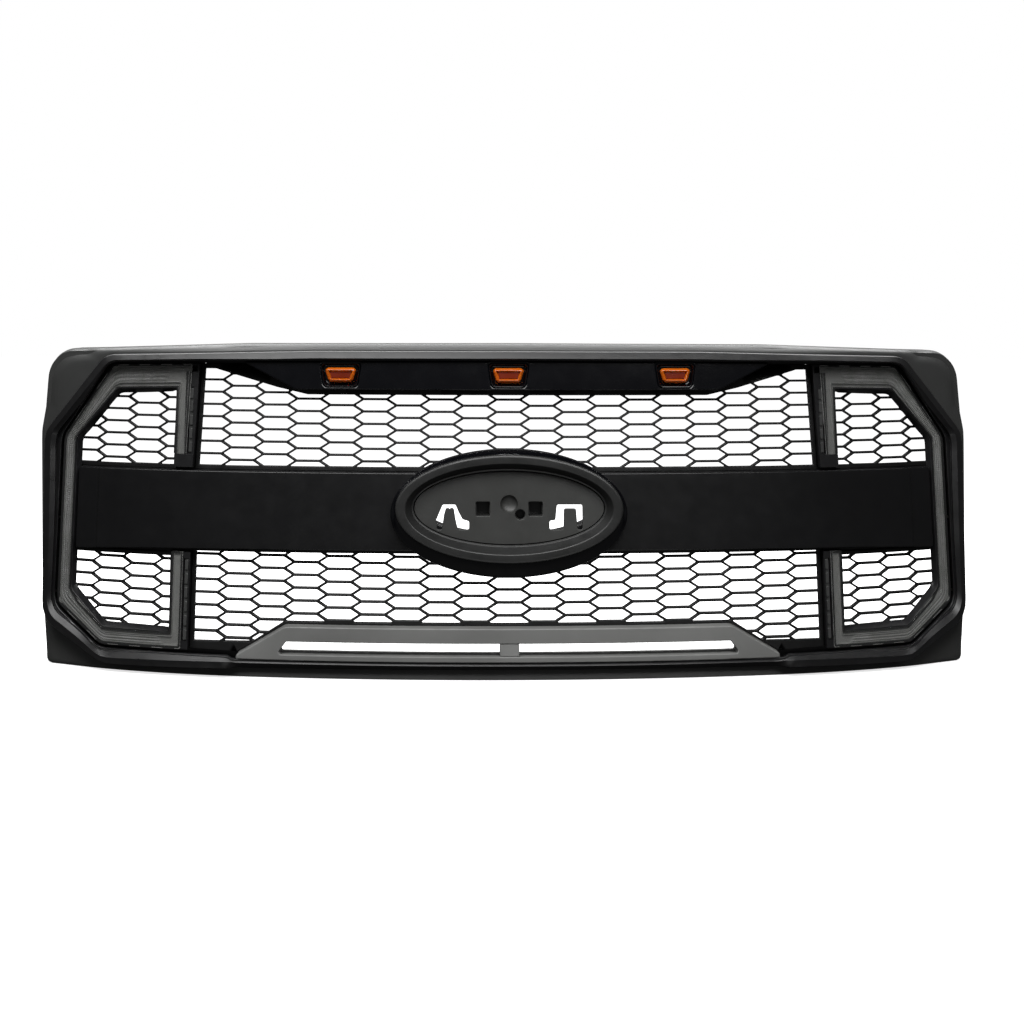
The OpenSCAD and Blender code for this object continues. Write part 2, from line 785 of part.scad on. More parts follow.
module lower_corner_mesh(side) {
    color("#101112") at_origin() mirror([side == left ? 1 : 0, 0, 0]) layer(0, mesh_d)
        honeycomb([corner_first:corner_last], [lower_first_row:lower_last_row]) {
            intersection() {
                corner_sheet();
                below_bar();
            }
            lower_corner_window();
        }
}

// ---- running lamps -------------------------------------------------------------

socket_x = open_side - lamp_arm_w / 2 - 2;
socket_z = waist_z * 0.7;
guide_inset = (lamp_arm_w - guide_w) / 2;

// The lamp's ring, open where the crossbar passes, with its edges moved in by an inset.
module lamp_ring(inset) {
    difference() {
        offset(delta = -inset) lamp_outline();
        offset(delta = inset) pocket_outline();
        translate([post_x - 30, post_gap_low - inset])
            square([post_w + 32, post_gap_top - post_gap_low + 2 * inset]);
    }
}

// The lens covers the ring except the dark strip along the inner post.
module lens_ring(inset) {
    difference() {
        lamp_ring(inset);
        translate([post_x - 40, 0]) square([strip_w + 40 + inset, open_top - 6 - lamp_top_h * 0.35]);
        translate([post_x - 40, post_gap_top - 30]) square([post_w + 42, 46]);
    }
}

module lamp_housing(side) {
    color("#141516") at_origin() mirror([side == left ? 1 : 0, 0, 0]) difference() {
        layer(lens_back + seat_gap, mesh_d) lamp_ring(0.2);
        layer(lens_back - 9, mesh_d - lamp_wall) lens_ring(lamp_wall);
        layer(lens_back - 9, lens_back + 6) strip_outline(0);
        on_surface(socket_x, socket_z, mesh_d)
            rotate([90, 0, 0]) cylinder(r = 6, h = 2 * lamp_wall + 2, center = true, $fn = 32);
    }
}

module lamp_lens(side) {
    color("#8d9499") at_origin() mirror([side == left ? 1 : 0, 0, 0]) layer(lens_front, lens_back) lens_ring(0.2);
}

// The strip outline on the post's inner side, above and below the crossbar.
module strip_outline(inset) {
    low_foot = lip_bottom + 22;
    translate([post_x + 2 + inset, post_gap_top + 17 + inset])
        square([strip_w - 4 - 2 * inset, open_top - lamp_top_h - 6 - post_gap_top - 17 - 2 * inset]);
    translate([post_x + 2 + inset, low_foot + inset])
        square([strip_w - 4 - 2 * inset, post_gap_low - low_foot - 8 - 2 * inset]);
}

module light_guide(side) {
    color("#c9ced2") at_origin() mirror([side == left ? 1 : 0, 0, 0])
        layer(lens_back + 4, chip_front - seat_gap) guide_ring(guide_inset);
}

module guide_ring(inset) {
    difference() {
        offset(delta = -inset) lamp_outline();
        offset(delta = inset) pocket_outline();
        translate([0, -1]) square([post_x + post_w + 6, open_top]);
    }
}

module lamp_board(side) {
    color("#d8dcd8") at_origin() mirror([side == left ? 1 : 0, 0, 0])
        layer(board_front, board_back) guide_ring(lamp_wall + 1.2);
}

// Light sources in a row under the light guide.
module lamp_chips(side) {
    arm_x = open_side - 3 - lamp_arm_w / 2;
    low_z = lip_bottom + 12 + lamp_low_h / 2;
    top_z = open_top - 8 - lamp_top_h / 2;
    from = post_x + post_w + 14;
    upright = [for (z = [lip_bottom + 85:chip_pitch:waist_z - 15]) [arm_x, z]];
    lower = [for (x = [from:chip_pitch:open_side - 78]) [x, low_z]];
    upper = [for (x = [from:chip_pitch:open_side - 84]) [x, top_z]];
    color("#f0e9b8") at_origin() mirror([side == left ? 1 : 0, 0, 0])
        for (place = concat(upright, lower, upper))
            layer(chip_front, board_front) translate(place) square(3.2, center = true);
}

module post_strip(side) {
    low_foot = lip_bottom + 22;
    color("#2a2c2e") at_origin() mirror([side == left ? 1 : 0, 0, 0]) {
        difference() {
            layer(lens_back + 1, lens_back + 6 - seat_gap) strip_outline(seat_gap);
            for (z = concat([low_foot + 10:chip_pitch:post_gap_low - 14],
                    [post_gap_top + 26:chip_pitch:open_top - lamp_top_h - 12]))
                layer(lens_back - 2, lens_back + 2.2) translate([post_x + strip_w / 2, z]) square([4, 8], center = true);
        }
    }
}

// The black end caps that close the post lens at the crossbar.
module post_cap(side) {
    color("#0f1011") at_origin() mirror([side == left ? 1 : 0, 0, 0]) {
        layer(lens_front, lens_back) intersection() {
            lamp_ring(0.2);
            translate([post_x - 10, post_gap_top]) square([post_w + 12, 16 - seat_gap]);
        }
    }
}

module lamp_socket(side) {
    color("#101112") at_origin() mirror([side == left ? 1 : 0, 0, 0])
        on_surface(socket_x, socket_z, mesh_d + seat_gap) rotate([-90, 0, 0]) difference() {
            union() {
                cylinder(r = 9, h = 16, $fn = 48);
                translate([-4, 8, 0]) cube([8, 3, 16]);
            }
            translate([0, 0, 3]) cylinder(r = 7, h = 20, $fn = 48);
        }
}

// ---- marker lamps --------------------------------------------------------------

marker_row = [-marker_x, 0, marker_x];
marker_back = 0 - 2 * seat_gap;
marker_floor = marker_back - 2;

module marker_housing(x) {
    color("#18191b") at_origin() difference() {
        layer(brow_front + 2, marker_back) translate([x, marker_z]) marker_outline(marker_border);
        layer(brow_front - 10, marker_floor) translate([x, marker_z]) marker_outline(seat_gap);
    }
}

module marker_lens(x) {
    color("#e2661a") at_origin() difference() {
        layer(brow_front - 2, marker_floor - 5) translate([x, marker_z]) marker_outline(0);
        layer(brow_front + 2.5, 30) translate([x, marker_z]) marker_outline(-2);
    }
}

module marker_board(x) {
    color("#2f6b45") at_origin() {
        layer(marker_floor - seat_gap - 1.6, marker_floor - seat_gap)
            translate([x, marker_z]) marker_outline(-0.5);
        for (shift = [-9, 0, 9]) layer(marker_floor - seat_gap - 3, marker_floor - seat_gap - 1.6)
            translate([x + shift, marker_z]) square(3.4, center = true);
    }
}

// ---- brackets and fixings --------------------------------------------------------

bracket_row = [-bracket_outer_x, -bracket_inner_x, bracket_inner_x, bracket_outer_x];

// Height of the underside of the shell's top wall.
function top_underside(x) =
    let (knee = half_w * 0.55)
    shell_top - shell_wall - (x < knee ? 1.2 * x / knee
        : 1.2 + (crown - 1.2) * (x - knee) / (half_w - 80 - knee));

module bracket(x) {
    edge = abs(x) + bracket_w / 2;
    top = top_underside(edge) - seat_gap;
    rear = surface_y(abs(x), top, shell_back);
    grip = 20;
    color("#6a6d70") at_origin() difference() {
        union() {
            translate([x - bracket_w / 2, rear - grip, top - bracket_t])
                cube([bracket_w, grip + bracket_reach, bracket_t]);
            translate([x - bracket_w / 2, rear - grip, top - 14]) cube([bracket_w, bracket_t, 14]);
        }
        translate([x, rear + bracket_reach - 12, top - 10]) cylinder(d = bracket_hole_d, h = 20, $fn = 48);
        translate([x, rear - grip / 2, top - 10]) cylinder(d = screw_d + 2 * seat_gap, h = 20, $fn = 32);
    }
}

module frame_screws() {
    color("#9a9da0") at_origin() for (place = frame_screw_places)
        on_surface(place[0], place[1], ledge_back + seat_gap) screw(ledge_back - frame_front - 1);
}

module beam_screws() {
    color("#9a9da0") at_origin() for (place = beam_screw_places)
        on_surface(place[0], place[1], mesh_d + seat_gap) screw(mesh_d - beam_front + 8);
}

module bracket_screws() {
    color("#9a9da0") at_origin() for (x = bracket_row) {
        top = top_underside(abs(x) + bracket_w / 2) - seat_gap;
        rear = surface_y(abs(x), top, shell_back);
        translate([x, rear - 10, top - bracket_t - seat_gap]) rotate([-90, 0, 0]) screw(bracket_t);
    }
}

// Rubber stops on the back of the inner frame, beside the crossbar.
module bump_stops() {
    color("#0b0b0b") at_origin() for (place = bump_places)
        on_surface(place[0], place[1], frame_back + seat_gap) rotate([-90, 0, 0])
            cylinder(d1 = 16, d2 = 11, h = 9, $fn = 48);
}

outer_shell();
inner_frame();
rim_moulding();
brow_panel();
lower_valance();
slot_divider();
crossbar();
crossbar_beam();
emblem_collar();
emblem_bezel();
emblem_plate();
mesh_upper();
mesh_lower();
upper_corner_mesh(left);  // mesh_corner_upper_left
upper_corner_mesh(right);  // mesh_corner_upper_right
lower_corner_mesh(left);  // mesh_corner_lower_left
lower_corner_mesh(right);  // mesh_corner_lower_right
lamp_housing(left);  // lamp_housing_left
lamp_housing(right);  // lamp_housing_right
lamp_lens(left);  // lamp_lens_left
lamp_lens(right);  // lamp_lens_right
light_guide(left);  // light_guide_left
light_guide(right);  // light_guide_right
lamp_board(left);  // lamp_board_left
lamp_board(right);  // lamp_board_right
lamp_chips(left);  // lamp_chips_left
lamp_chips(right);  // lamp_chips_right
post_strip(left);  // post_strip_left
post_strip(right);  // post_strip_right
post_cap(left);  // post_cap_left
post_cap(right);  // post_cap_right
lamp_socket(left);  // lamp_socket_left
lamp_socket(right);  // lamp_socket_right
marker_housing(-marker_x);  // marker_housing_left
marker_housing(0);  // marker_housing_middle
marker_housing(marker_x);  // marker_housing_right
marker_lens(-marker_x);  // marker_lens_left
marker_lens(0);  // marker_lens_middle
marker_lens(marker_x);  // marker_lens_right
marker_board(-marker_x);  // marker_board_left
marker_board(0);  // marker_board_middle
marker_board(marker_x);  // marker_board_right
bracket(-bracket_outer_x);  // bracket_outer_left
bracket(-bracket_inner_x);  // bracket_inner_left
bracket(bracket_inner_x);  // bracket_inner_right
bracket(bracket_outer_x);  // bracket_outer_right
frame_screws();
beam_screws();
bracket_screws();
bump_stops();
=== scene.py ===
"""Front grille: the looks of every piece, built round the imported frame.

Outlines are drawn in millimetres in the X-Z plane, as seen from the front, and laid on the
grille's front surface, which is two tangent arcs in plan and leans back.  A depth is measured
square to that surface from the face of the mesh: minus is towards the front.
"""
from math import acos, asin, ceil, cos, floor, hypot, pi, radians, sin, tan

import bmesh
import bpy
import numpy as np
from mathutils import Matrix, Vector
from mathutils.geometry import delaunay_2d_cdt


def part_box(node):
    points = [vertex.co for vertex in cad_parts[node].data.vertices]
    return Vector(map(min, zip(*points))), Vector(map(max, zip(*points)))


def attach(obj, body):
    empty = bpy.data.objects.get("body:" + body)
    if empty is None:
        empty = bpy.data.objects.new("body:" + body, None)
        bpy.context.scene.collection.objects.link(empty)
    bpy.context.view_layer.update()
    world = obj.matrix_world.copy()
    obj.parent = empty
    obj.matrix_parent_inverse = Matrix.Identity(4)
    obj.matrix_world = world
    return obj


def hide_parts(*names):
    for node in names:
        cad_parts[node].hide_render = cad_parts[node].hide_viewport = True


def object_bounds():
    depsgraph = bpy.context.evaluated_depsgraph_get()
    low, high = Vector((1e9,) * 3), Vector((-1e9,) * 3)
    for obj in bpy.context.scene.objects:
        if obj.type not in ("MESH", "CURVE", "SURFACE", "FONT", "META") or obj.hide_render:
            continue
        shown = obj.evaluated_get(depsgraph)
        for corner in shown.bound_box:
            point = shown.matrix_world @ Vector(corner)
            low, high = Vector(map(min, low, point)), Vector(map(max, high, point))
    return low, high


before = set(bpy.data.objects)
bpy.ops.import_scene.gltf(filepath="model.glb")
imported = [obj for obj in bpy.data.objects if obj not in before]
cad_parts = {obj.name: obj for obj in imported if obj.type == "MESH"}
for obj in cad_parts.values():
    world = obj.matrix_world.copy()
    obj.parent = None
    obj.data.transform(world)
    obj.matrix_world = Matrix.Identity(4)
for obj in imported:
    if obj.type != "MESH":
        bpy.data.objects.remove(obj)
cad_low, cad_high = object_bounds()

MM = 0.001

# ---- sizes, in millimetres ----

LEAN = radians(17.2)
FRONT_R, WING_START, WING_R = 2300.0, 330.0, 900.0
SEAT_GAP = 0.3
WORN_TURN = radians(22)

SHELL_WALL, SHELL_FRONT, SHELL_BACK = 3.5, -10.0, 45.0
LEDGE_W, LEDGE_FRONT, LEDGE_BACK = 16.0, 12.6, 15.6
SHELL_ROLL, SHELL_SINK = 26.0, 2.0
RIM_FRONT, RIM_TILT, LIP_LAP = -26.0, 3.8, 4.5
RIM_FACE, RIM_CHAMFER, RIM_SINK, RIM_FALL = 9.2, 6.6, 7, 4.0
MESH_D, FRAME_BACK = 8.0, 12.3
COLUMN_PITCH, ROW_PITCH, CELL_FLAT, WEB_W = 42.1, 15.4, 29.6, 2.6
MESH_BORDER = 5.0
BAR_FRONT, BAR_WALL, BAR_DROP = -14.0, 3.0, 8.0
BROW_FRONT, VALANCE_FRONT, PANEL_WALL = -20.0, -15.0, 3.0
LENS_FRONT, LENS_BACK = -14.0, -11.3
LAMP_ARM_W, LAMP_TOP_H, LAMP_LOW_H = 18.0, 29.0, 20.0
STRIP_W, POST_W = 10.0, 25.0
BEZEL_FRONT, FLOOR_FRONT, FLOOR_T = -38.0, -24.0, 3.0
BEZEL_RIM, BEZEL_SLOPE = 12.0, 10.0
MARKER_W, MARKER_H, MARKER_TAPER, RECESS = 39.0, 18.0, 3.6, 5.6
MARKER_BEND, PAINTED_SHADE_INSET = 2.4, 5.1
PILLOW_PITCH, PILLOW_H, CHIP_PITCH, CHIP_H = 2.6, 1.4, 16.7, 12.4
REAR_LIP = 0.6

# How finely edges and round outlines are divided.
EDGE_STEPS, OVAL_POINTS, HOLE_POINTS, MARKER_POINTS = 3, 144, 48, 96


def box(node):
    """Lowest and highest corner of a CAD node, in millimetres."""
    low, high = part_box(node)
    return low / MM, high / MM


half_w = cad_high.x / MM
shell_top = cad_high.z / MM
bottom_half = half_w - 24.5
waist_z = 290.0
crown = 8.0
bar_low, bar_high = box("crossbar")
bar_half, bar_top = bar_high.x, bar_high.z
bar_low_z = bar_low.z + BAR_DROP
rim_low, rim_high = box("rim_moulding")
rim_side, rim_top = rim_high.x, rim_high.z
lip_bottom = rim_low.z + 7
open_top = rim_top - 10.5
open_side = rim_side - 23
brow_low, brow_high = box("brow_panel")
brow_z = brow_low.z
brow_half = brow_high.x - 70
valance_high = box("lower_valance")[1]
valance_top = valance_high.z
valance_half = valance_high.x - 60
slot_low_z, slot_h, slot_half = 28.0, 15.0, 274.0
divider_low, divider_high = box("slot_divider")
post_x = box("post_cap_right")[0].x - 0.2
bezel_low, bezel_high = box("emblem_bezel")
bezel_w = 2 * bezel_high.x
bezel_h = bezel_high.z - bezel_low.z
emblem_z = (bezel_low.z + bezel_high.z) / 2
marker_low, marker_high = box("marker_lens_right")
marker_x = (marker_low.x + marker_high.x) / 2
marker_z = (marker_low.z + marker_high.z) / 2
plate_low = box("emblem_plate")[0]
origin_y = plate_low.y - FLOOR_FRONT / cos(LEAN) - plate_low.z * tan(LEAN)
post_gap_low = bar_low_z - BAR_DROP / 2 - 2
post_gap_top = bar_top + 3.5
lamp_side = open_side - 3 - LAMP_ARM_W
lamp_top, lamp_foot = open_top - 8, lip_bottom + 12
MARKERS = {"left": -marker_x, "middle": 0.0, "right": marker_x}

# ---- the front surface ----

WING_TURN = asin(WING_START / FRONT_R)
WING_X = (FRONT_R - WING_R) * sin(WING_TURN)
WING_Y = FRONT_R - (FRONT_R - WING_R) * cos(WING_TURN)


def on_front(points, depth):
    """Outline points laid on the front surface, all at one depth or each at its own."""
    points = np.asarray(points, float)
    x, z = points[:, 0], points[:, 1]
    across = np.abs(x)
    wing = across > WING_X + (WING_R - depth) * sin(WING_TURN)
    radius = np.where(wing, WING_R, FRONT_R) - depth
    off = np.where(wing, across - WING_X, across)
    plan = np.where(wing, WING_Y, FRONT_R) - np.sqrt(radius ** 2 - off ** 2)
    return np.column_stack((x, plan / cos(LEAN) + z * tan(LEAN) + origin_y, z))


def on_plane(points, depth):
    """Outline points laid on the leaning plane that touches the middle of the front."""
    points = np.asarray(points, float)
    x, z = points[:, 0], points[:, 1]
    back = np.full(len(x), depth / cos(LEAN))
    return np.column_stack((x, back + z * tan(LEAN) + origin_y, z))


# ---- outlines ----

def both_halves(half):
    """A half outline from the bottom middle to the top middle, joined to its mirror image."""
    half = np.asarray(half, float)
    other = half[::-1] * (-1, 1)
    keep = [p for p in other if abs(p[0]) > 1e-6]
    return np.vstack((half, keep))


def rounded(points, radius, steps=4):
    """A closed outline with its corners rounded; radius is one number or one per corner."""
    points = np.asarray(points, float)
    count = len(points)
    radii = np.broadcast_to(radius, count)
    out = []
    for i in range(count):
        a, b, c = points[i - 1], points[i], points[(i + 1) % count]
        u, v = (a - b), (c - b)
        lu, lv = np.hypot(*u), np.hypot(*v)
        u, v = u / lu, v / lv
        turn = acos(max(-1, min(1, float(u @ v)))) / 2
        if radii[i] <= 0 or turn > radians(88.5):
            out.append(b)
            continue
        cut = min(radii[i] / tan(turn), 0.48 * min(lu, lv))
        r = cut * tan(turn)
        bisector = (u + v) / np.hypot(*(u + v))
        centre = b + bisector * r / sin(turn)
        start, end = b + u * cut - centre, b + v * cut - centre
        for k in range(steps + 1):
            d = start * (steps - k) + end * k
            out.append(centre + r * d / np.hypot(*d))
    return np.array(out)


def densify(points, step):
    """The closed outline with no edge longer than step."""
    out = []
    for a, b in zip(points, np.roll(points, -1, axis=0)):
        parts = max(1, ceil(np.hypot(*(b - a)) / step))
        out += [a + (b - a) * k / parts for k in range(parts)]
    return np.array(out)


def densify_even(points, count):
    """The closed outline resampled at even steps from its first point."""
    closed = np.vstack((points, points[:1]))
    along = distances(closed)
    return trail_at(closed, along, np.linspace(0, along[-1], count, endpoint=False))


def area(points):
    x, z = points[:, 0], points[:, 1]
    return 0.5 * float(np.sum(x * np.roll(z, -1) - np.roll(x, -1) * z))


def turned(points, ccw=True):
    return points if (area(points) > 0) == ccw else points[::-1]


def inset(points, distance):
    """The closed outline moved to its left, which is into the solid for an outer outline that
    runs anticlockwise and for a hole that runs clockwise."""
    if abs(distance) < 1e-9:
        return points
    edges = points - np.roll(points, 1, axis=0)
    edges /= np.maximum(np.hypot(edges[:, 0], edges[:, 1]), 1e-9)[:, None]
    n0 = np.column_stack((-edges[:, 1], edges[:, 0]))
    n1 = np.roll(n0, -1, axis=0)
    mitre = (n0 + n1) / np.maximum(1 + np.sum(n0 * n1, axis=1), 0.3)[:, None]
    return points + distance * mitre


def inside(points, loop):
    """Which points lie inside the closed outline."""
    x, z = points[:, 0][:, None], points[:, 1][:, None]
    ax, az = loop[:, 0][None], loop[:, 1][None]
    bx, bz = np.roll(loop[:, 0], -1)[None], np.roll(loop[:, 1], -1)[None]
    crosses = (az > z) != (bz > z)
    with np.errstate(divide="ignore", invalid="ignore"):
        at = ax + (z - az) * (bx - ax) / (bz - az)
    return np.sum(crosses & (x < at), axis=1) % 2 == 1


def in_solid(points, loops):
    """Which points lie inside an outline with holes."""
    return np.sum([inside(points, loop) for loop in loops], axis=0) % 2 == 1


def loop_edges(loops):
    """Pairs of neighbouring points, numbered through all the closed outlines in turn."""
    edges, start = [], 0
    for loop in loops:
        edges += [(start + i, start + (i + 1) % len(loop)) for i in range(len(loop))]
        start += len(loop)
    return edges


def oval(w, h, lift=0.0, count=OVAL_POINTS):
    """An outline round the emblem's middle, or round a point that is lifted from it."""
    turn = np.linspace(0, 2 * pi, count, endpoint=False)
    return np.column_stack((w / 2 * np.cos(turn), emblem_z + lift + h / 2 * np.sin(turn)))


def disc(radius, x, z, count=HOLE_POINTS):
    turn = np.linspace(0, 2 * pi, count, endpoint=False)
    return np.column_stack((np.cos(turn), np.sin(turn))) * radius + (x, z)


def oblong(low_x, low_z, high_x, high_z):
    return np.array([(low_x, low_z), (high_x, low_z), (high_x, high_z), (low_x, high_z)])


def trail_at(trail, along, places):
    return np.column_stack((np.interp(places, along, trail[:, 0]), np.interp(places, along, trail[:, 1])))


def distances(trail):
    """How far along an open trail each of its points lies."""
    return np.concatenate(([0], np.cumsum(np.hypot(*np.diff(trail, axis=0).T))))


def even_path(trail, keys, counts, fineness=8000):
    """An open trail sampled evenly between the places on it that lie nearest the key points."""
    along = distances(trail)
    fine = np.linspace(0, along[-1], fineness)
    places = trail_at(trail, along, fine)
    marks = [fine[np.argmin(np.hypot(*(places - key).T))] for key in keys]
    marks[0], marks[-1] = 0.0, along[-1]
    at = [np.linspace(a, b, n, endpoint=False) for a, b, n in zip(marks, marks[1:], counts)]
    return trail_at(trail, along, np.append(np.concatenate(at), along[-1]))


# ---- meshes ----

def mark_worn(mesh, work):
    """Note the vertices on convex edges, where a surface is rubbed first."""
    worn = np.zeros(len(work.verts), np.float32)
    for edge in work.edges:
        if len(edge.link_faces) == 2 and edge.calc_face_angle_signed(0.0) > WORN_TURN:
            for vert in edge.verts:
                worn[vert.index] = 1.0
    layer = mesh.attributes.new("worn_edge", "FLOAT", "POINT")
    layer.data.foreach_set("value", worn)


def finish_piece(name, shape, material, nodes=(), sharp=38):
    """Make the object from (vertices, faces), point its faces outwards and shade it smooth with
    clean edges."""
    verts, faces = shape
    mesh = bpy.data.meshes.new(name)
    mesh.from_pydata([tuple(v) for v in np.asarray(verts) * MM], [], [list(map(int, f)) for f in faces])
    work = bmesh.new()
    work.from_mesh(mesh)
    bmesh.ops.remove_doubles(work, verts=work.verts, dist=1e-6)
    bmesh.ops.dissolve_degenerate(work, edges=work.edges, dist=1e-7)
    bmesh.ops.recalc_face_normals(work, faces=work.faces)
    work.verts.index_update()
    work.to_mesh(mesh)
    mark_worn(mesh, work)
    work.free()
    mesh.shade_smooth()
    mesh.set_sharp_from_angle(angle=radians(sharp))
    piece = bpy.data.objects.new(name, mesh)
    bpy.context.scene.collection.objects.link(piece)
    piece.data.materials.append(material)
    weighted = piece.modifiers.new("face_weighted", "WEIGHTED_NORMAL")
    weighted.keep_sharp = True
    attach(piece, "root")
    if nodes:
        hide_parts(*nodes)


def nested(outline, rows, lay=on_front):
    """Copies of an outline, each moved in by the distance and to the depth that a row gives."""
    return [lay(inset(outline, distance), depth) for distance, depth in rows]


def triangulate(loops, grid=0.0):
    """Triangles over an outline with holes, with extra points on a grid inside it."""
    flat = np.vstack(loops)
    points = flat
    if grid:
        low, high = flat.min(0), flat.max(0)
        xs, zs = (np.arange(ceil(low[k] / grid) * grid, high[k], grid) for k in (0, 1))
        extra = np.array([(x, z) for x in xs for z in zs])
        if len(extra):
            extra = extra[in_solid(extra, loops)]
            near = np.array([np.min(np.hypot(*(flat - p).T)) for p in extra])
            points = np.vstack((flat, extra[near > grid * 0.45]))
    result = delaunay_2d_cdt([Vector(p) for p in points], loop_edges(loops), [], 0, 1e-5)
    points, triangles = np.array([tuple(v) for v in result[0]]), np.array(result[2])
    origins = [o[0] if o else -1 for o in result[3]]
    return points, origins, triangles[in_solid(points[triangles].mean(axis=1), loops)], len(flat)


def quads(first, second, count):
    """Faces between two rings of vertices that start at these numbers."""
    return [(first + i, first + (i + 1) % count, second + (i + 1) % count, second + i)
            for i in range(count)]


def slab(loops, profile, lay=on_front, grid=0.0):
    """A plate with holes.  The profile is a list of (inset, depth), from the edge of its first
    face round the rim to the edge of its last face, or one such list for each outline.  The
    first face has extra points on the grid."""
    loops = [turned(np.asarray(loop, float), i == 0) for i, loop in enumerate(loops)]
    profiles = profile if isinstance(profile[0], list) else [profile] * len(loops)
    verts, faces, starts, total = [], [], [], 0
    for loop, rows in zip(loops, profiles):
        starts.append(total)
        verts += nested(loop, rows, lay)
        for start in range(total, total + len(loop) * (len(rows) - 1), len(loop)):
            faces += quads(start, start + len(loop), len(loop))
        total += len(loop) * len(rows)
    verts = np.vstack(verts)
    for end, size in ((0, grid), (-1, 0.0)):
        edges = [inset(loop, rows[end][0]) for loop, rows in zip(loops, profiles)]
        points, origins, triangles, known = triangulate(edges, size)
        rim = []
        for loop, start, rows in zip(loops, starts, profiles):
            start += (end % len(rows)) * len(loop)
            rim += range(start, start + len(loop))
        index, extra = [], []
        for point, origin in zip(points, origins):
            if 0 <= origin < known:
                index.append(rim[origin])
            else:
                index.append(len(verts) + len(extra))
                extra.append(point)
        if extra:
            verts = np.vstack((verts, lay(np.array(extra), profiles[0][end][1])))
        faces += [tuple(index[i] for i in t) for t in triangles]
    return verts, faces


def loft(rings, close=True):
    """Quads between rings of the same number of points; the last ring may join the first."""
    count, faces = len(rings[0]), []
    for row in range(len(rings) if close else len(rings) - 1):
        faces += quads(row * count, (row + 1) % len(rings) * count, count)
    return np.vstack(rings), faces


def capped(rings):
    """A loft with a face over its first ring and one over its last."""
    verts, faces = loft(rings, close=False)
    count, total = len(rings[0]), len(verts)
    return verts, faces + [tuple(range(count)), tuple(range(total - count, total))]


def joined(*parts):
    verts, faces, start = [], [], 0
    for part_verts, part_faces in parts:
        verts.append(part_verts)
        faces += [tuple(i + start for i in f) for f in part_faces]
        start += len(part_verts)
    return np.vstack(verts), faces


def quarter(steps=EDGE_STEPS):
    """Angles from nought to a right angle."""
    return [radians(90 * k / steps) for k in range(steps + 1)]


def front_edge(front, radius):
    return [(radius * (1 - sin(t)), front + radius * (1 - cos(t))) for t in quarter()]


def round_over(front, back, radius, back_radius=0.4):
    """Profile of a plain plate with rounded edges."""
    rear = [(back_radius * (1 - cos(t)), back - back_radius * (1 - sin(t))) for t in quarter()]
    return front_edge(front, radius) + rear


def tray(front, back, wall, radius):
    """Profile of a shell that is open at the back: face, wall, rear lip, inside."""
    return front_edge(front, radius) + [
        (0, back - REAR_LIP), (REAR_LIP, back), (wall - REAR_LIP / 2, back), (wall, back - REAR_LIP / 2),
        (wall, front + wall + 1.5), (wall + 1.5, front + wall)]


# ---- materials ----

def scaled(colour, share, lift=0.0):
    return tuple(min(1.0, c * share + lift) for c in colour)


def fill(node, **values):
    """Set some inputs of a node; an underscore stands for a space."""
    for name, value in values.items():
        node.inputs[name.replace("_", " ")].default_value = value


class Tree:
    """The shader nodes of a material or of the world."""

    def __init__(self, owner):
        owner.use_nodes = True
        self.owner = owner
        self.nodes, self.link = owner.node_tree.nodes, owner.node_tree.links.new

    def add(self, kind, **values):
        node = self.nodes.new(f"ShaderNode{kind}")
        fill(node, **values)
        return node

    def noise(self, coords, scale, detail, rough=0.55):
        node = self.add("TexNoise", Scale=scale, Detail=detail, Roughness=rough)
        self.link(coords, node.inputs["Vector"])
        return node.outputs["Fac"]

    def spread(self, value, low=0.0, high=1.0, from_low=0.3, from_high=0.7):
        """The value's usual range stretched to run from low to high."""
        node = self.add("MapRange", From_Min=from_low, From_Max=from_high, To_Min=low, To_Max=high)
        self.link(value, node.inputs["Value"])
        return node.outputs["Result"]

    def mixed(self, share, first, second):
        """A colour between two others; the first may come from another node."""
        node = self.add("Mix")
        node.data_type = "RGBA"
        if isinstance(first, tuple):
            fill(node, A=(*first, 1))
        else:
            self.link(first, node.inputs["A"])
        fill(node, B=(*second, 1))
        self.link(share, node.inputs["Factor"])
        return node.outputs["Result"]

    def cover(self, shader, tone, gloss, height, strength, distance):
        """Give the shader its colour, roughness and bump."""
        bump = self.add("Bump", Strength=strength, Distance=distance)
        self.link(height, bump.inputs["Height"])
        self.link(bump.outputs["Normal"], shader.inputs["Normal"])
        self.link(tone, shader.inputs["Base Color"])
        self.link(gloss, shader.inputs["Roughness"])
        return self.owner

    def by_camera(self, lit, seen, output):
        """Show one shader to the camera and let the other light the object."""
        path, mix = self.add("LightPath"), self.add("MixShader")
        self.link(path.outputs["Is Camera Ray"], mix.inputs["Fac"])
        self.link(lit.outputs[0], mix.inputs[1])
        self.link(seen.outputs[0], mix.inputs[2])
        self.link(mix.outputs[0], output.inputs["Surface"])


def new_material(name):
    tree = Tree(bpy.data.materials.new(name))
    shader = next(n for n in tree.nodes if n.type == "BSDF_PRINCIPLED")
    return tree, shader, tree.add("TexCoord").outputs["Object"]


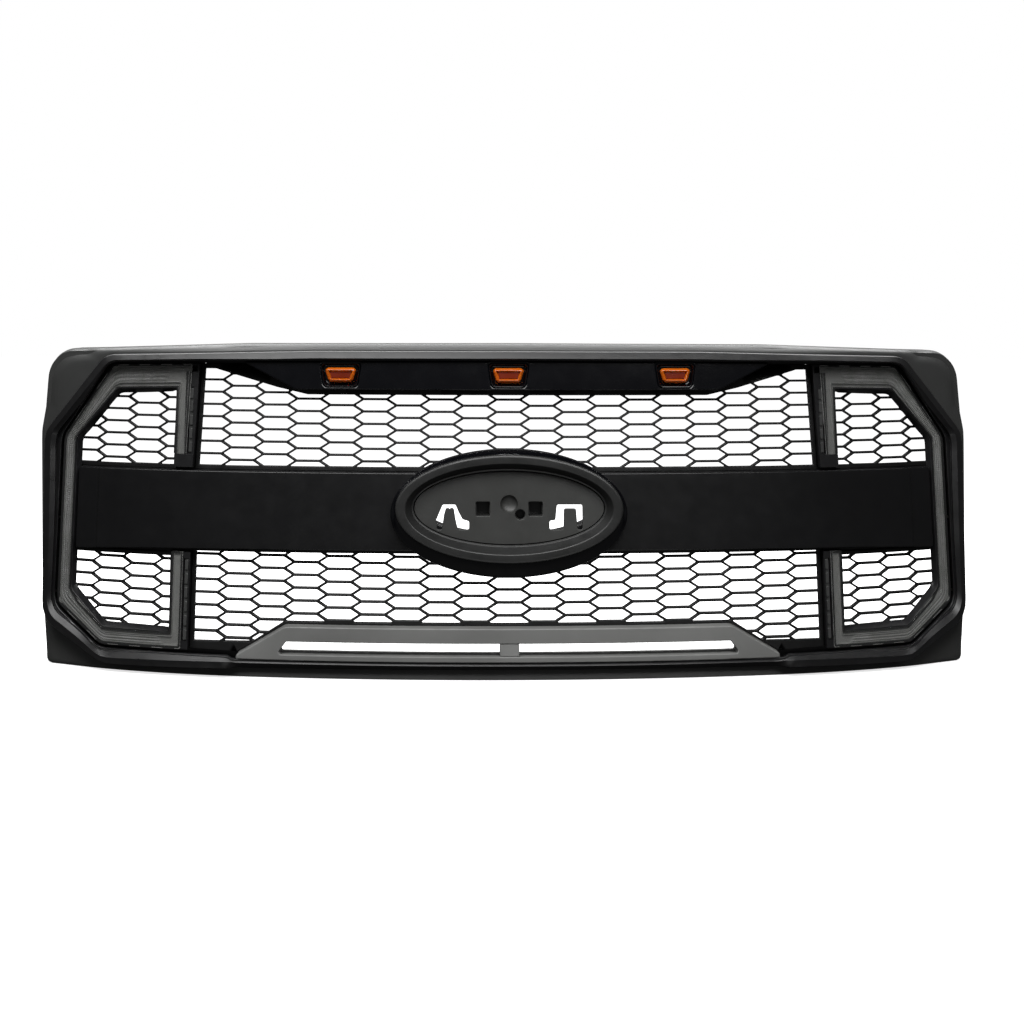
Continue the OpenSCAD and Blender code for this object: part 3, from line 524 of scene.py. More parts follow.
def plastic(name, colour, roughness, vary=0.06, grain=1400.0, bump=0.05, wear=0.35):
    """Moulded plastic: mottled tone, uneven gloss, a fine grain and paler rubbed edges."""
    tree, shader, coords = new_material(name)
    cloud = tree.noise(coords, 6.0, 4.0)
    fine = tree.noise(coords, grain, 2.0)
    streak = tree.noise(coords, 45.0, 5.0, 0.65)
    edge, rubbed = tree.add("Attribute"), tree.add("Math")
    edge.attribute_name = "worn_edge"
    rubbed.operation = "MULTIPLY"
    tree.link(edge.outputs["Fac"], rubbed.inputs[0])
    tree.link(tree.spread(streak, 0.0, wear, 0.45, 0.75), rubbed.inputs[1])
    tone = tree.mixed(tree.spread(cloud), scaled(colour, 0.72), colour)
    tone = tree.mixed(rubbed.outputs[0], tone, scaled(colour, 1.9, 0.012))
    gloss = tree.spread(streak, max(0.03, roughness - vary), roughness + vary)
    return tree.cover(shader, tone, gloss, fine, bump, 0.0004)


def lens_plastic(name, colour, roughness, transmission=0.0, solid=1.0):
    """Clear moulded plastic with faint flow marks."""
    tree, shader, coords = new_material(name)
    flow = tree.noise(coords, 30.0, 3.0)
    tone = tree.mixed(tree.spread(flow), colour, scaled(colour, 1.12))
    gloss = tree.spread(flow, roughness, roughness + 0.05)
    fill(shader, IOR=1.49, Transmission_Weight=transmission, Alpha=solid)
    return tree.cover(shader, tone, gloss, flow, 0.05, 0.0006)


def steel(name, colour, roughness, metallic):
    """Plated or painted steel with fine scratches and dull patches."""
    tree, shader, coords = new_material(name)
    cloud, scratch = tree.noise(coords, 90.0, 4.0), tree.noise(coords, 1400.0, 1.0)
    tone = tree.mixed(tree.spread(cloud), scaled(colour, 0.75), colour)
    gloss = tree.spread(cloud, roughness - 0.08, roughness + 0.12)
    fill(shader, Metallic=metallic)
    return tree.cover(shader, tone, gloss, scratch, 0.08, 0.0003)


shell_black = plastic("shell_satin", (0.05, 0.051, 0.05), 0.42, bump=0.06)
rim_black = plastic("rim_satin", (0.0095, 0.0095, 0.01), 0.33, bump=0.04)
gloss_black = plastic("gloss_black", (0.0028, 0.003, 0.0045), 0.17, vary=0.03, grain=300.0, bump=0.012)
bar_black = plastic("bar_satin", (0.0055, 0.0055, 0.0062), 0.32, vary=0.04, bump=0.02)
# The valance is black satin plastic lightened to grey: partly its own tone, partly painted sheen standing
# in for the overhead light on its upturned face.
valance_black_painted_sheen = plastic("valance_satin", (0.24, 0.242, 0.235), 0.42)
emblem_black = plastic("emblem_satin", (0.022, 0.0225, 0.022), 0.36)
plate_black = plastic("plate_satin", (0.055, 0.056, 0.053), 0.42)
mesh_black = plastic("mesh_black", (0.004, 0.004, 0.0042), 0.42, grain=1100.0)
frame_black = plastic("frame_matte", (0.018, 0.018, 0.019), 0.55, grain=700.0, bump=0.12)
divider_grey = plastic("divider_grey", (0.3, 0.302, 0.295), 0.45)
lamp_black = plastic("lamp_black", (0.010, 0.010, 0.011), 0.38, grain=1200.0)
strip_grey = plastic("strip_grey", (0.07, 0.071, 0.07), 0.30, grain=900.0)
guide_white = plastic("light_guide", (0.62, 0.625, 0.6), 0.3, grain=500.0, bump=0.1, wear=0.6)
smoke_clear = lens_plastic("smoked_lens", (0.05, 0.051, 0.05), 0.07, solid=0.27)
amber_clear = lens_plastic("amber_lens", (0.93, 0.19, 0.012), 0.08, transmission=0.35)
# A darker copy of the amber lens colour: painted shade for the inside of the marker lamps.
amber_painted_shade = plastic("painted_shade_amber", (0.22, 0.02, 0.003), 0.25, grain=600.0, bump=0.04)
board_white = plastic("board_white", (0.6, 0.61, 0.6), 0.4, grain=600.0)
chip_yellow = plastic("chip_yellow", (0.8, 0.66, 0.2), 0.35, grain=600.0)
board_green = plastic("board_green", (0.04, 0.18, 0.08), 0.35, grain=600.0)
socket_black = plastic("socket_black", (0.014, 0.014, 0.014), 0.5, grain=800.0, bump=0.1)
bracket_black = steel("bracket_steel", (0.035, 0.035, 0.036), 0.4, metallic=0.0)
screw_steel = steel("screw_steel", (0.42, 0.42, 0.41), 0.34, metallic=1.0)
rubber_black = plastic("rubber", (0.015, 0.015, 0.015), 0.75, grain=500.0, bump=0.2)


# ---- shell and rim ----

def path_stations(points, radii, keys, counts):
    """A half outline with rounded corners, sampled evenly between key points on it."""
    return even_path(rounded(points, radii, 10), keys, counts, 6000)


side_low = bottom_half * 0.45 + half_w * 0.55
low_side = bottom_half + 5
rim_corner_z = waist_z + 3 + 98 * (rim_top - waist_z) / 107
lip_low = lip_bottom - LIP_LAP
lip_high = lip_bottom + 3.5

# Each outline runs from the bottom middle up the right-hand side to the top middle.  Key points
# that have the same place in the three lists face each other, and so do the points between them.
STATIONS = (36, 26, 14, 14, 22, 18, 18, 30, 30)
shell_path = path_stations(
    [(0, 0), (bottom_half, 0), (side_low, waist_z * 0.42), (half_w, waist_z),
     (half_w - 4, shell_top - crown - 2), (half_w - 80, shell_top - crown),
     (half_w * 0.55, shell_top - 1.2), (0, shell_top)],
    (0, 7, 300, 90, 42, 200, 0, 0),
    [(0, 0), (318, 0), (505, 0), (bottom_half, 0), (side_low - 9, 57), (half_w, waist_z - 2),
     (half_w - 15, 362), (532, 397), (245, 404), (0, shell_top)], STATIONS)
rim_path = path_stations(
    [(0, lip_low), (half_w * 0.52, lip_low - 3 + LIP_LAP * 0.4), (low_side - 87, lip_bottom - 8),
     (low_side, lip_bottom + 40), (rim_side, waist_z - 2), (rim_side - 82.5, rim_corner_z),
     (half_w * 0.4, rim_top + 0.6), (0, rim_top + 1)],
    (0, 0, 50, 34, 30, 26, 0, 0),
    [(0, lip_low), (318, 11), (505, 9), (549, 33.5), (592.5, 57), (rim_side, 288), (559.5, 336.5),
     (517, 385), (245, 395), (0, rim_top + 1)], STATIONS)
opening_path = path_stations(
    [(0, lip_high), (valance_half + 62, lip_high), (valance_half + 70, lip_bottom + 8),
     (open_side - 65, lip_bottom + 9), (open_side, lip_bottom + 57), (open_side, waist_z - 6),
     (open_side - 66, open_top - 4.5), (post_x, open_top - 2), (0, open_top)],
    (0, 3, 5, 28, 26, 26, 20, 0, 0),
    [(0, lip_high), (318, 20.5), (514, 26), (546, 50), (579, 74), (579, 284), (546, 332), (513, 380),
     (245, 383), (0, open_top)], STATIONS)
shell_line, rim_line, opening_line = (both_halves(path) for path in (shell_path, rim_path, opening_path))


def between(first, second, distance):
    """Points at a distance from the first outline on the way to the second."""
    span = second - first
    length = np.maximum(np.hypot(span[:, 0], span[:, 1]), 1e-6)[:, None]
    return first + span * (np.reshape(distance, (-1, 1)) / length)


def downward(up):
    """One where an edge faces down, and soon nought to either side; up is the rise of its normal."""
    return np.clip(-up, 0, 1) ** 4


def shell_front(room, up):
    """Rings of the shell's face: a flat by the rim, then a roll back to the side.  The roll is
    a straight slope along the top, and the lip along the bottom is nearly flat."""
    roll = np.minimum(0.8 * room, SHELL_ROLL) * np.clip((up + 1.25) / 1.5, 0.17, 1)
    drop = roll * np.clip(0.55 + 0.4 * up, 0.3, 1)
    straight = 0.8 * np.clip((up - 0.6) / 0.3, 0, 1)
    sink = SHELL_SINK * downward(up)
    rings = [on_front(inset(rim_line, 3), SHELL_FRONT + SHELL_WALL + sink),
             on_front(inset(rim_line, 3), SHELL_FRONT + 0.6 + sink),
             on_front(inset(rim_line, 2.4), SHELL_FRONT + sink), on_front(rim_line, SHELL_FRONT + sink),
             on_front(between(rim_line, shell_line, 0.5 * (room - roll)), SHELL_FRONT + 0.5 * sink)]
    for k, turn in enumerate(quarter(8)):
        inward = (1 - straight) * (1 - sin(turn)) + straight * (1 - k / 8)
        back = (1 - straight) * (1 - cos(turn)) + straight * k / 8
        rings.append(on_front(between(shell_line, rim_line, roll * inward), SHELL_FRONT + drop * back))
    return rings


def shell_piece():
    room = np.hypot(*(rim_line - shell_line).T)
    rings = shell_front(room, (shell_line - rim_line)[:, 1] / room)
    mid = (SHELL_BACK + SHELL_FRONT) / 2
    step = SHELL_WALL + LEDGE_W
    inner_side = [(0, mid), (0, SHELL_BACK - 0.8), (0.3, SHELL_BACK - 0.25), (0.9, SHELL_BACK),
                  (SHELL_WALL - 0.6, SHELL_BACK), (SHELL_WALL, SHELL_BACK - 0.6),
                  (SHELL_WALL, LEDGE_BACK + 1.5), (SHELL_WALL + 1.5, LEDGE_BACK),
                  (step - 0.5, LEDGE_BACK), (step, LEDGE_BACK - 0.5), (step, LEDGE_FRONT),
                  (SHELL_WALL, LEDGE_FRONT), (SHELL_WALL, SHELL_FRONT + SHELL_WALL)]
    rings += nested(shell_line, inner_side)
    finish_piece("shell", loft(rings), shell_black, ["outer_shell"], sharp=32)


def rim_piece():
    """The rim: a face that leans outwards, then a chamfer down into the opening.  Where it is
    narrow, along the bottom, it lies further back and turns down."""
    width = np.hypot(*(opening_line - rim_line).T)
    up = (rim_line - opening_line)[:, 1] / width
    face = np.clip(width - 2.2, 2.0, RIM_FACE)
    chamfer = np.minimum(face + RIM_CHAMFER, width - 0.9)
    narrow = downward(up) * np.clip((13 - width) / 4, 0, 1)
    front = RIM_FRONT + RIM_SINK * narrow
    low = front + 0.8 * (chamfer - face)
    base = SHELL_FRONT - SEAT_GAP
    outer = front + RIM_TILT * np.clip(0.35 + 0.65 * up, 0.08, 1) + RIM_FALL * narrow
    rows = [(0.0, base), (0.2, np.minimum(outer + 1.6, base - 0.3)), (0.6, outer + 0.6), (1.2, outer),
            (face - 0.9, front + 0.3), (face - 0.3, front), (face + 0.2, front + 0.1),
            (face + 0.7, front + 0.7), (chamfer - 0.3, low - 0.2), (chamfer, low + 0.1),
            (chamfer + 0.15, np.minimum(low + 4.0, -13.0)), (chamfer + 0.5, np.minimum(low + 4.4, -12.5)),
            (width - 0.5, np.minimum(low + 4.6, -12.4)), (width, np.minimum(low + 5.0, -12.0)),
            (width, base)]
    rings = [on_front(between(rim_line, opening_line, distance), depth) for distance, depth in rows]
    finish_piece("rim", loft(rings), rim_black, ["rim_moulding"], sharp=32)


# ---- brow, valance and divider ----

def marker_outline(x, grow, radius):
    """The outline of a marker lens, or one that lies outside it by grow."""
    top = MARKER_W / 2 + grow
    low = top - MARKER_TAPER
    high = MARKER_H / 2 + grow
    half = [(0, -high), (low - 3, -high), (low, 3 - high), (top, high - 3), (top - 3, high), (0, high)]
    return rounded(both_halves(half), radius, 3) + (x, marker_z)


def brow_piece():
    outline = both_halves([(0, brow_z), (brow_half, brow_z), (brow_half + 56, open_top - 9),
                           (brow_half + 70, open_top - 2.1), (0, open_top - 0.3)])
    loops = [densify(rounded(outline, 4, 4), 14)]
    loops += [densify(marker_outline(x, RECESS + SEAT_GAP, 4.0), 6) for x in MARKERS.values()]
    shape = slab(loops, tray(BROW_FRONT, -SEAT_GAP, PANEL_WALL, 2.2), grid=14)
    finish_piece("brow", shape, gloss_black, ["brow_panel"])


def slot_outline():
    low, high = slot_low_z, slot_low_z + slot_h
    return both_halves([(0, low), (slot_half + 11, low), (slot_half, high), (0, high)])


def valance_piece():
    low = lip_high + SEAT_GAP
    outline = both_halves([(0, low), (valance_half + 60, low), (valance_half + 60, lip_bottom + 9),
                           (valance_half, valance_top), (0, valance_top)])
    foot = np.where(outline[:, 1] > low + 1, 9, 1)
    corners = np.where(np.abs(outline[:, 0]) < valance_half + 1, 16, foot)
    loops = [densify(rounded(outline, corners, 6), 12), densify(rounded(slot_outline(), 2.5, 3), 12)]
    outer = tray(VALANCE_FRONT, MESH_D, PANEL_WALL, 2.0)
    duct = tray(VALANCE_FRONT, FRAME_BACK + 3, PANEL_WALL, 1.4)
    shape = slab(loops, [outer, duct], grid=12)
    finish_piece("valance", shape, valance_black_painted_sheen, ["lower_valance"])


def divider_piece():
    outline = oblong(divider_low.x, divider_low.z, divider_high.x, divider_high.z)
    loops = [densify(rounded(outline, 1.0, 2), 6)]
    shape = slab(loops, round_over(VALANCE_FRONT + 1, FRAME_BACK, 0.9), grid=8)
    finish_piece("divider", shape, divider_grey, ["slot_divider"])


# ---- crossbar ----

def bar_outline(end, fall):
    return both_halves([(0, bar_low_z), (bar_half * 0.6, bar_low_z - 1), (bar_half * 0.82, bar_low_z - 3),
                        (end, bar_low_z - fall), (end, bar_top), (0, bar_top)])


def bar_piece():
    """The crossbar's body with a face plate that stands proud of it."""
    end_strip, step = 28.5, 1.4
    window = oval(bezel_w - 60, bar_top - bar_low_z - 24, count=96)
    body = [densify(rounded(bar_outline(bar_half, BAR_DROP), 3, 3), 14), window]
    body = slab(body, tray(BAR_FRONT + step, MESH_D, BAR_WALL - step, 1.6), grid=16)
    edge = inset(bar_outline(bar_half - end_strip, BAR_DROP * 0.75), 0.2)
    plate = [densify(rounded(edge, 2.2, 3), 14), inset(window[::-1], 0.4)[::-1]]
    plate = slab(plate, round_over(BAR_FRONT, BAR_FRONT + step + 0.6, 1.5, 0.1), grid=16)
    finish_piece("bar", joined(body, plate), bar_black, ["crossbar"])


# ---- emblem seat ----

recess_w, recess_h = bezel_w - 2 * BEZEL_RIM, bezel_h - 2 * BEZEL_RIM + 4
floor_w, floor_h = recess_w - 2 * BEZEL_SLOPE, recess_h - 2 * BEZEL_SLOPE


def collar_piece():
    """The skirt behind the bezel; its rows add to the bezel's width and height, with a depth
    and a lift."""
    front = BEZEL_FRONT + 8.3
    seat_w, seat_h = recess_w - bezel_w, recess_h - bezel_h
    rows = [(seat_w - 1, seat_h - 1, -20.5, 0), (seat_w - 1, seat_h - 1, front + 0.6, 0),
            (seat_w, seat_h, front, 0), (-5, -5, front, 0), (-2, -2, front + 0.8, 0),
            (-1, -1, front + 2, -0.2), (1, 3, front + 5, -1.4), (6, 12, front + 8, -4.0),
            (10, 20, -20.3, -6.2), (12.4, 24, -18.8, -7.2), (13, 25, -16.5, -7.5), (13, 25, -0.8, -7.5),
            (12.4, 24.4, -SEAT_GAP, -7.5), (-46, -46, -SEAT_GAP, -2), (-46, -46, -20.5, 0)]
    rings = [on_plane(oval(bezel_w + w, bezel_h + h, lift), depth) for w, h, depth, lift in rows]
    finish_piece("collar", loft(rings), gloss_black, ["emblem_collar"], sharp=40)


def bezel_piece():
    seat = FLOOR_FRONT - SEAT_GAP
    crest = BEZEL_FRONT
    outer = [(0, crest + 8), (0, crest + 2.2), (0.3, crest + 1.2), (1.0, crest + 0.45),
             (2.2, crest + 0.1), (3.2, crest)]
    rows = [(bezel_w - 2 * d, bezel_h - 2 * d, e) for d, e in outer]
    rows.append((recess_w + 2.4, recess_h + 2.0, crest))
    slope = [(0.0, 0.0), (0.05, 0.02), (0.1, 0.07), (0.74, 0.83), (0.78, 0.87), (0.84, 0.885),
             (0.96, 0.90), (1.0, 0.93), (1.0, 1.0)]
    rows += [(recess_w - 2 * BEZEL_SLOPE * t, recess_h - 2 * BEZEL_SLOPE * t,
              crest + 0.35 + (seat - crest - 0.35) * s) for t, s in slope]
    rows += [(recess_w - 1.6, recess_h - 1.6, seat), (recess_w - 1.6, recess_h - 1.6, crest + 8)]
    shape = loft([on_plane(oval(w, h), e) for w, h, e in rows])
    finish_piece("bezel", shape, emblem_black, ["emblem_bezel"], sharp=24)


# Clip cut-outs: legs joined at the top, with a foot on the leg nearer the middle.
CLIP_LEFT = [(-11.9, 15.3), (3.8, 15.3), (7.4, 6.8), (12.4, -2.3), (20.5, -4.6), (20.5, -14.6),
             (6.8, -14.6), (3.8, -2.3), (1.8, 10.4), (-1.8, 11.6), (-3.4, 9.5), (-5.0, 11.6),
             (-8.3, 10.4), (-10.6, 2.3), (-12.8, -14.6), (-18.7, -14.6), (-20.0, -3.4)]
CLIP_RIGHT = [(-11.2, 15.3), (20.2, 15.3), (20.2, -14.6), (14.0, -14.6), (12.4, 10.6), (-2.6, 10.6),
              (-3.4, -14.6), (-20.5, -14.6), (-20.5, -4.0), (-13.2, -3.2)]
CLIP_X, PEG_X, PEG_HALF, PEG_DROP = 70, 32.5, 8.75, 1.3
HOLE_X, HOLE_DROP, HOLE_R = 13.4, 8.1, 6.3
BOWL_X, BOWL_RISE, BOWL_R, BOWL_D = -0.2, 4.6, 10.9, 5.5
CUP_GAP, CUP_D = 0.5, 16


def clip_cutout(x, points):
    return rounded(turned(np.array(points)), 2.2, 4) + (x, emblem_z - 11.5)


def peg_square(x, half, radius, steps):
    low, high = emblem_z - PEG_DROP - half, emblem_z - PEG_DROP + half
    return rounded(oblong(x - half, low, x + half, high), radius, steps)


def bowl_dent(face):
    """The shallow bowl above the middle, with its bottom closed."""
    turns = np.linspace(0.25, 1.45, 6)
    rows = [(0.7, face), (0.0, face)]
    rows += [(-BOWL_R * (1 - cos(t)), face + BOWL_D * sin(t) ** 0.9) for t in turns]
    rings = [on_plane(disc(BOWL_R + d, BOWL_X, emblem_z + BOWL_RISE), e) for d, e in rows]
    verts, faces = loft(rings, close=False)
    faces.append(tuple(range(len(verts) - HOLE_POINTS, len(verts))))
    return verts, faces


def plate_piece():
    face, back = FLOOR_FRONT - 1, FLOOR_FRONT + FLOOR_T
    holes = [clip_cutout(-CLIP_X, CLIP_LEFT), clip_cutout(CLIP_X, CLIP_RIGHT)]
    holes += [peg_square(x, PEG_HALF, 1.8, 3) for x in (-PEG_X, PEG_X)]
    holes.append(disc(HOLE_R, HOLE_X, emblem_z - HOLE_DROP))
    holes.append(disc(BOWL_R, BOWL_X, emblem_z + BOWL_RISE))
    loops = [oval(floor_w - 2, floor_h - 2)] + [densify(hole, 5) for hole in holes]
    plate = slab(loops, round_over(face, back, 0.7, 0.3), lay=on_plane, grid=7)
    shape = joined(plate, bowl_dent(face))
    finish_piece("emblem_floor", shape, plate_black, ["emblem_plate"], sharp=30)


def peg_cups():
    """The blind cups behind the emblem's square holes and its round hole."""
    outlines = [peg_square(x, PEG_HALF + CUP_GAP - 0.05, 2.2, 4) for x in (-PEG_X, PEG_X)]
    outlines.append(disc(HOLE_R + CUP_GAP + 0.1, HOLE_X, emblem_z - HOLE_DROP, 32))
    rim, end = FLOOR_FRONT + FLOOR_T, FLOOR_FRONT + CUP_D
    cup = [(1.4, end - 2), (1.4, rim), (0.2, rim), (0, rim + 0.2), (0, end - 0.5), (0.4, end)]
    shape = joined(*(slab([outline], cup, lay=on_plane) for outline in outlines))
    finish_piece("peg_cups", shape, socket_black, sharp=40)


# ---- honeycomb meshes ----

CELL_HALF = ROW_PITCH / 2
CELL_TIP = COLUMN_PITCH - CELL_FLAT / 2
CELL_RUN = CELL_TIP - CELL_FLAT / 2
OPEN_TIP = CELL_TIP - WEB_W / 2 * hypot(CELL_RUN, CELL_HALF) / CELL_HALF
OPEN_HALF = CELL_HALF - WEB_W / 2
OPEN_EDGE = OPEN_TIP - OPEN_HALF * CELL_RUN / CELL_HALF
HEXAGON = np.array([(OPEN_TIP, 0), (OPEN_EDGE, OPEN_HALF), (-OPEN_EDGE, OPEN_HALF), (-OPEN_TIP, 0),
                    (-OPEN_EDGE, -OPEN_HALF), (OPEN_EDGE, -OPEN_HALF)])


def column_shift(column):
    """How far a column of cells is moved up, in rows."""
    return 0.25 - (abs(column) % 2) * 0.5


def in_cell(points):
    """Which points lie in the open part of a honeycomb cell."""
    x, z = points[:, 0], points[:, 1]
    found = np.zeros(len(points), bool)
    nearest = np.round(x / COLUMN_PITCH).astype(int)
    for column in (nearest - 1, nearest, nearest + 1):
        shift = column_shift(column)
        row = np.round(z / ROW_PITCH - shift)
        across = np.abs(x - column * COLUMN_PITCH)
        up = np.abs(z - (row + shift) * ROW_PITCH)
        found |= (up <= OPEN_HALF) & (across <= OPEN_TIP - up * CELL_RUN / CELL_HALF)
    return found


def boundary_loops(points, triangles):
    """Closed outlines round a set of anticlockwise triangles."""
    edges = {(a, b) for t in triangles for a, b in zip(t, np.roll(t, -1))}
    follow = {}
    for a, b in sorted(edges):
        if (b, a) not in edges:
            follow.setdefault(a, []).append(b)
    loops = []
    while follow:
        start = here = next(iter(follow))
        trail = []
        while here in follow:
            trail.append(here)
            ends = follow[here]
            here = ends.pop()
            if not ends:
                del follow[trail[-1]]
            if here == start:
                break
        loops.append(points[trail])
    return loops


def simpler(points, turn=0.01, short=0.25):
    """The closed outline without points on straight stretches and very short edges."""
    keep = [points[0]]
    for point in points[1:]:
        if np.hypot(*(point - keep[-1])) > short:
            keep.append(point)
    points = np.array(keep)
    u = points - np.roll(points, 1, axis=0)
    v = np.roll(u, -1, axis=0)
    cross = u[:, 0] * v[:, 1] - u[:, 1] * v[:, 0]
    return points[np.abs(cross) > turn * np.hypot(*u.T) * np.hypot(*v.T)]


def honeycomb(sheet, window):
    """Outlines of a sheet that is pierced by every cell, or part of one, inside the window."""
    low, high = window.min(0), window.max(0)
    columns = range(floor(low[0] / COLUMN_PITCH) - 1, ceil(high[0] / COLUMN_PITCH) + 2)
    rows = range(floor(low[1] / ROW_PITCH) - 1, ceil(high[1] / ROW_PITCH) + 2)
    rings = [turned(sheet), turned(window)]
    for column in columns:
        places = [(column * COLUMN_PITCH, (row + column_shift(column)) * ROW_PITCH) for row in rows]
        rings += [HEXAGON + place for place in places]
    result = delaunay_2d_cdt([Vector(p) for p in np.vstack(rings)], loop_edges(rings), [], 0, 1e-4)
    points, triangles = np.array([tuple(v) for v in result[0]]), np.array(result[2])
    corners = points[triangles]
    centres = corners.mean(axis=1)
    solid = inside(centres, sheet) & ~(inside(centres, window) & in_cell(centres))
    side_a, side_b = corners[:, 1] - corners[:, 0], corners[:, 2] - corners[:, 0]
    clockwise = side_a[:, 0] * side_b[:, 1] < side_a[:, 1] * side_b[:, 0]
    triangles[clockwise] = triangles[clockwise][:, ::-1]
    loops = [simpler(loop) for loop in boundary_loops(points, triangles[solid])]
    outer = max(loops, key=area)
    holes = [loop for loop in loops if len(loop) > 2 and area(loop) < -12]
    return [rounded(outer, 1.0, 2)] + [rounded(hole, 0.6, 2) for hole in holes]


def mesh_piece(name, node, sheet, window):
    loops = [densify(loop, 12) for loop in honeycomb(sheet, window)]
    shape = slab(loops, round_over(0.0, MESH_D, 0.55, 0.45))
    finish_piece(name, shape, mesh_black, [node], sharp=40)


def centre_meshes():
    low, post = bar_top + MESH_BORDER, post_x - MESH_BORDER
    mesh_piece("honeycomb_upper", "mesh_upper", both_halves([
        (0, bar_top + SEAT_GAP), (post_x - SEAT_GAP, bar_top + SEAT_GAP),
        (post_x - 5 - SEAT_GAP, lamp_top + 2), (0, open_top - 4)]), both_halves([
            (0, low), (post, low), (post - 5, lamp_top), (brow_half + 100, open_top - 14),
            (brow_half + 26, brow_z + 2), (brow_half - 14, brow_z - 7), (0, brow_z - 7)]))
    mesh_piece("honeycomb_lower", "mesh_lower", both_halves([
        (0, valance_top + SEAT_GAP), (valance_half + 0.2, valance_top + SEAT_GAP),
        (valance_half + 60.3, lip_bottom + 10), (post_x - SEAT_GAP, lamp_foot),
        (post_x - SEAT_GAP, bar_low_z - 2.3), (bar_half * 0.6, bar_low_z - 1.3),
        (0, bar_low_z - SEAT_GAP)]), both_halves([
            (0, valance_top + 3), (valance_half + 2, valance_top + 3),
            (valance_half + 42, lip_bottom + 22), (post, lip_bottom + 21), (post, bar_low_z - 6),
            (0, bar_low_z - MESH_BORDER)]))


def pocket_half(top, edge=0.0):
    """The pocket inside the right-hand lamp, above the crossbar or below it, moved in by edge."""
    side, near = lamp_side - edge, post_x + POST_W + edge
    low, high = lamp_foot + LAMP_LOW_H + edge, lamp_top - LAMP_TOP_H - edge
    if top:
        base = bar_top + SEAT_GAP + (MESH_BORDER - SEAT_GAP if edge > 1 else 0)
        return np.array([(near, base), (side, base), (side, waist_z - 8 - edge * 0.4),
                         (side - 55 - edge * 0.4, high - 2), (near, high)])
    base = bar_low_z - BAR_DROP - (MESH_BORDER if edge > 1 else SEAT_GAP)
    return np.array([(near, low), (side - 47, low + 0.5), (side - 12, lip_bottom + 61 + edge),
                     (side, lip_bottom + 78 + edge * 0.6), (side, base), (near, base)])


def corner_meshes():
    for top, word in ((True, "upper"), (False, "lower")):
        sheet, window = pocket_half(top, SEAT_GAP), pocket_half(top, 2.5)
        for side in ("left", "right"):
            flip = -1 if side == "left" else 1
            mesh_piece(f"honeycomb_corner_{word}_{side}", f"mesh_corner_{word}_{side}",
                       turned(sheet * (flip, 1)), turned(window * (flip, 1)))


# ---- running lamps ----

def lamp_paths(step):
    """Outer and inner edge of the right-hand lamp, from the crossbar round to the crossbar."""
    left, near, side = post_x + STRIP_W, post_x + POST_W + 0.2, open_side - 3.2
    top, foot, arm = lamp_top - LAMP_TOP_H, lamp_foot + LAMP_LOW_H, lamp_side + 0.2
    outer = np.array([
        (left, post_gap_top + 16), (left - 4.6, lamp_top + 1.8), (open_side - 68, lamp_top - 0.2),
        (side, waist_z - 6), (side, lamp_foot + 47), (open_side - 66, lamp_foot + 0.7),
        (left, lamp_foot + 0.2), (left, post_gap_low)])
    inner = np.array([
        (near, post_gap_top + 16), (near, top + 0.2), (lamp_side - 54.8, top - 1.8),
        (arm, waist_z - 8), (arm, lamp_foot + 64), (lamp_side - 47, foot + 0.3),
        (near, foot - 0.2), (near, post_gap_low)])
    counts = [max(4, int(span / step)) for span in np.hypot(*np.diff(outer, axis=0).T)]
    return [even_path(rounded(path, (0, 2, bend, bend, bend, bend, 2, 0), 8), path, counts)
            for path, bend in ((outer, 26), (inner, 16))]


def band(outer, inner, section, flip=1):
    """A closed section swept between two paths.  A section row gives a share of the way across,
    a further distance, and a depth; each may be an array with a value for every station."""
    span = inner - outer
    length = np.hypot(span[:, 0], span[:, 1])
    rows = []
    for share, further, depth in section:
        reach = np.broadcast_to(share, len(outer)) + np.broadcast_to(further, len(outer)) / length
        rows.append(on_front((outer + span * reach[:, None]) * (flip, 1), depth))
    return capped(np.array(rows).transpose(1, 0, 2))


def lens_piece(side, flip):
    outer, inner = lamp_paths(4.0)
    front, back = LENS_FRONT, LENS_BACK
    section = [(0, 0.0, back), (0, 0.0, front + 1.0), (0, 0.3, front + 0.35), (0, 1.0, front),
               (0.20, 0, front), (0.215, 0, front + 0.5), (0.24, 0, front + 0.1), (0.36, 0, front),
               (0.60, 0, front), (0.72, 0, front + 0.1), (0.745, 0, front + 0.55),
               (0.77, 0, front + 0.2), (1, -1.0, front + 1.3),
               (1, -0.3, front + 1.7), (1, 0.0, front + 2.3), (1, 0.0, back + 1.0), (1, -1.2, back + 1.0),
               (1, -1.5, back), (0.5, 0, back), (0, 1.2, back)]
    shape = band(outer, inner, section, flip)
    finish_piece(f"lens_{side}", shape, smoke_clear, [f"lamp_lens_{side}"], sharp=28)


def pillows(outer):
    """Height of the light guide's pillows at each station, none on the inner posts."""
    swell = np.abs(np.sin(pi * distances(outer) / PILLOW_PITCH)) ** 0.5
    return swell * np.clip((np.abs(outer[:, 0]) - (post_x + POST_W + 4)) / 4, 0, 1)


def guide_piece(side, flip):
    outer, inner = lamp_paths(PILLOW_PITCH / 4)
    swell = pillows(outer)
    low, base = LENS_BACK + 1.9, LENS_BACK + 4.5
    # Painted highlight: the first rows raise the guide's pale outer wall to just behind the lens, so a
    # thin bright line shows along the lens's outer edge where light would catch it.
    section = [(0.01, 0, base), (0.01, 0, low - 1.5), (0.045, 0, low - 1.5), (0.05, 0, low + 1.2),
               (0.18, 0, low + 0.7), (0.19, 0, low - 1.5), (0.215, 0, low - 1.5), (0.22, 0, low)]
    for row in range(3):
        for share in (0.0, 0.25, 0.5, 0.75):
            depth = low - PILLOW_H * swell * sin(pi * share) ** 0.5 if share else low
            section.append((0.23 + 0.50 * (row + share) / 3, 0, depth))
    section += [(0.73, 0, low), (0.735, 0, low - 1.5), (0.765, 0, low - 1.5), (0.77, 0, low + 0.3),
                (0.93, 0, low + 1.0), (0.94, 0, base)]
    shape = band(outer, inner, section, flip)
    finish_piece(f"guide_{side}", shape, guide_white, [f"light_guide_{side}"], sharp=60)


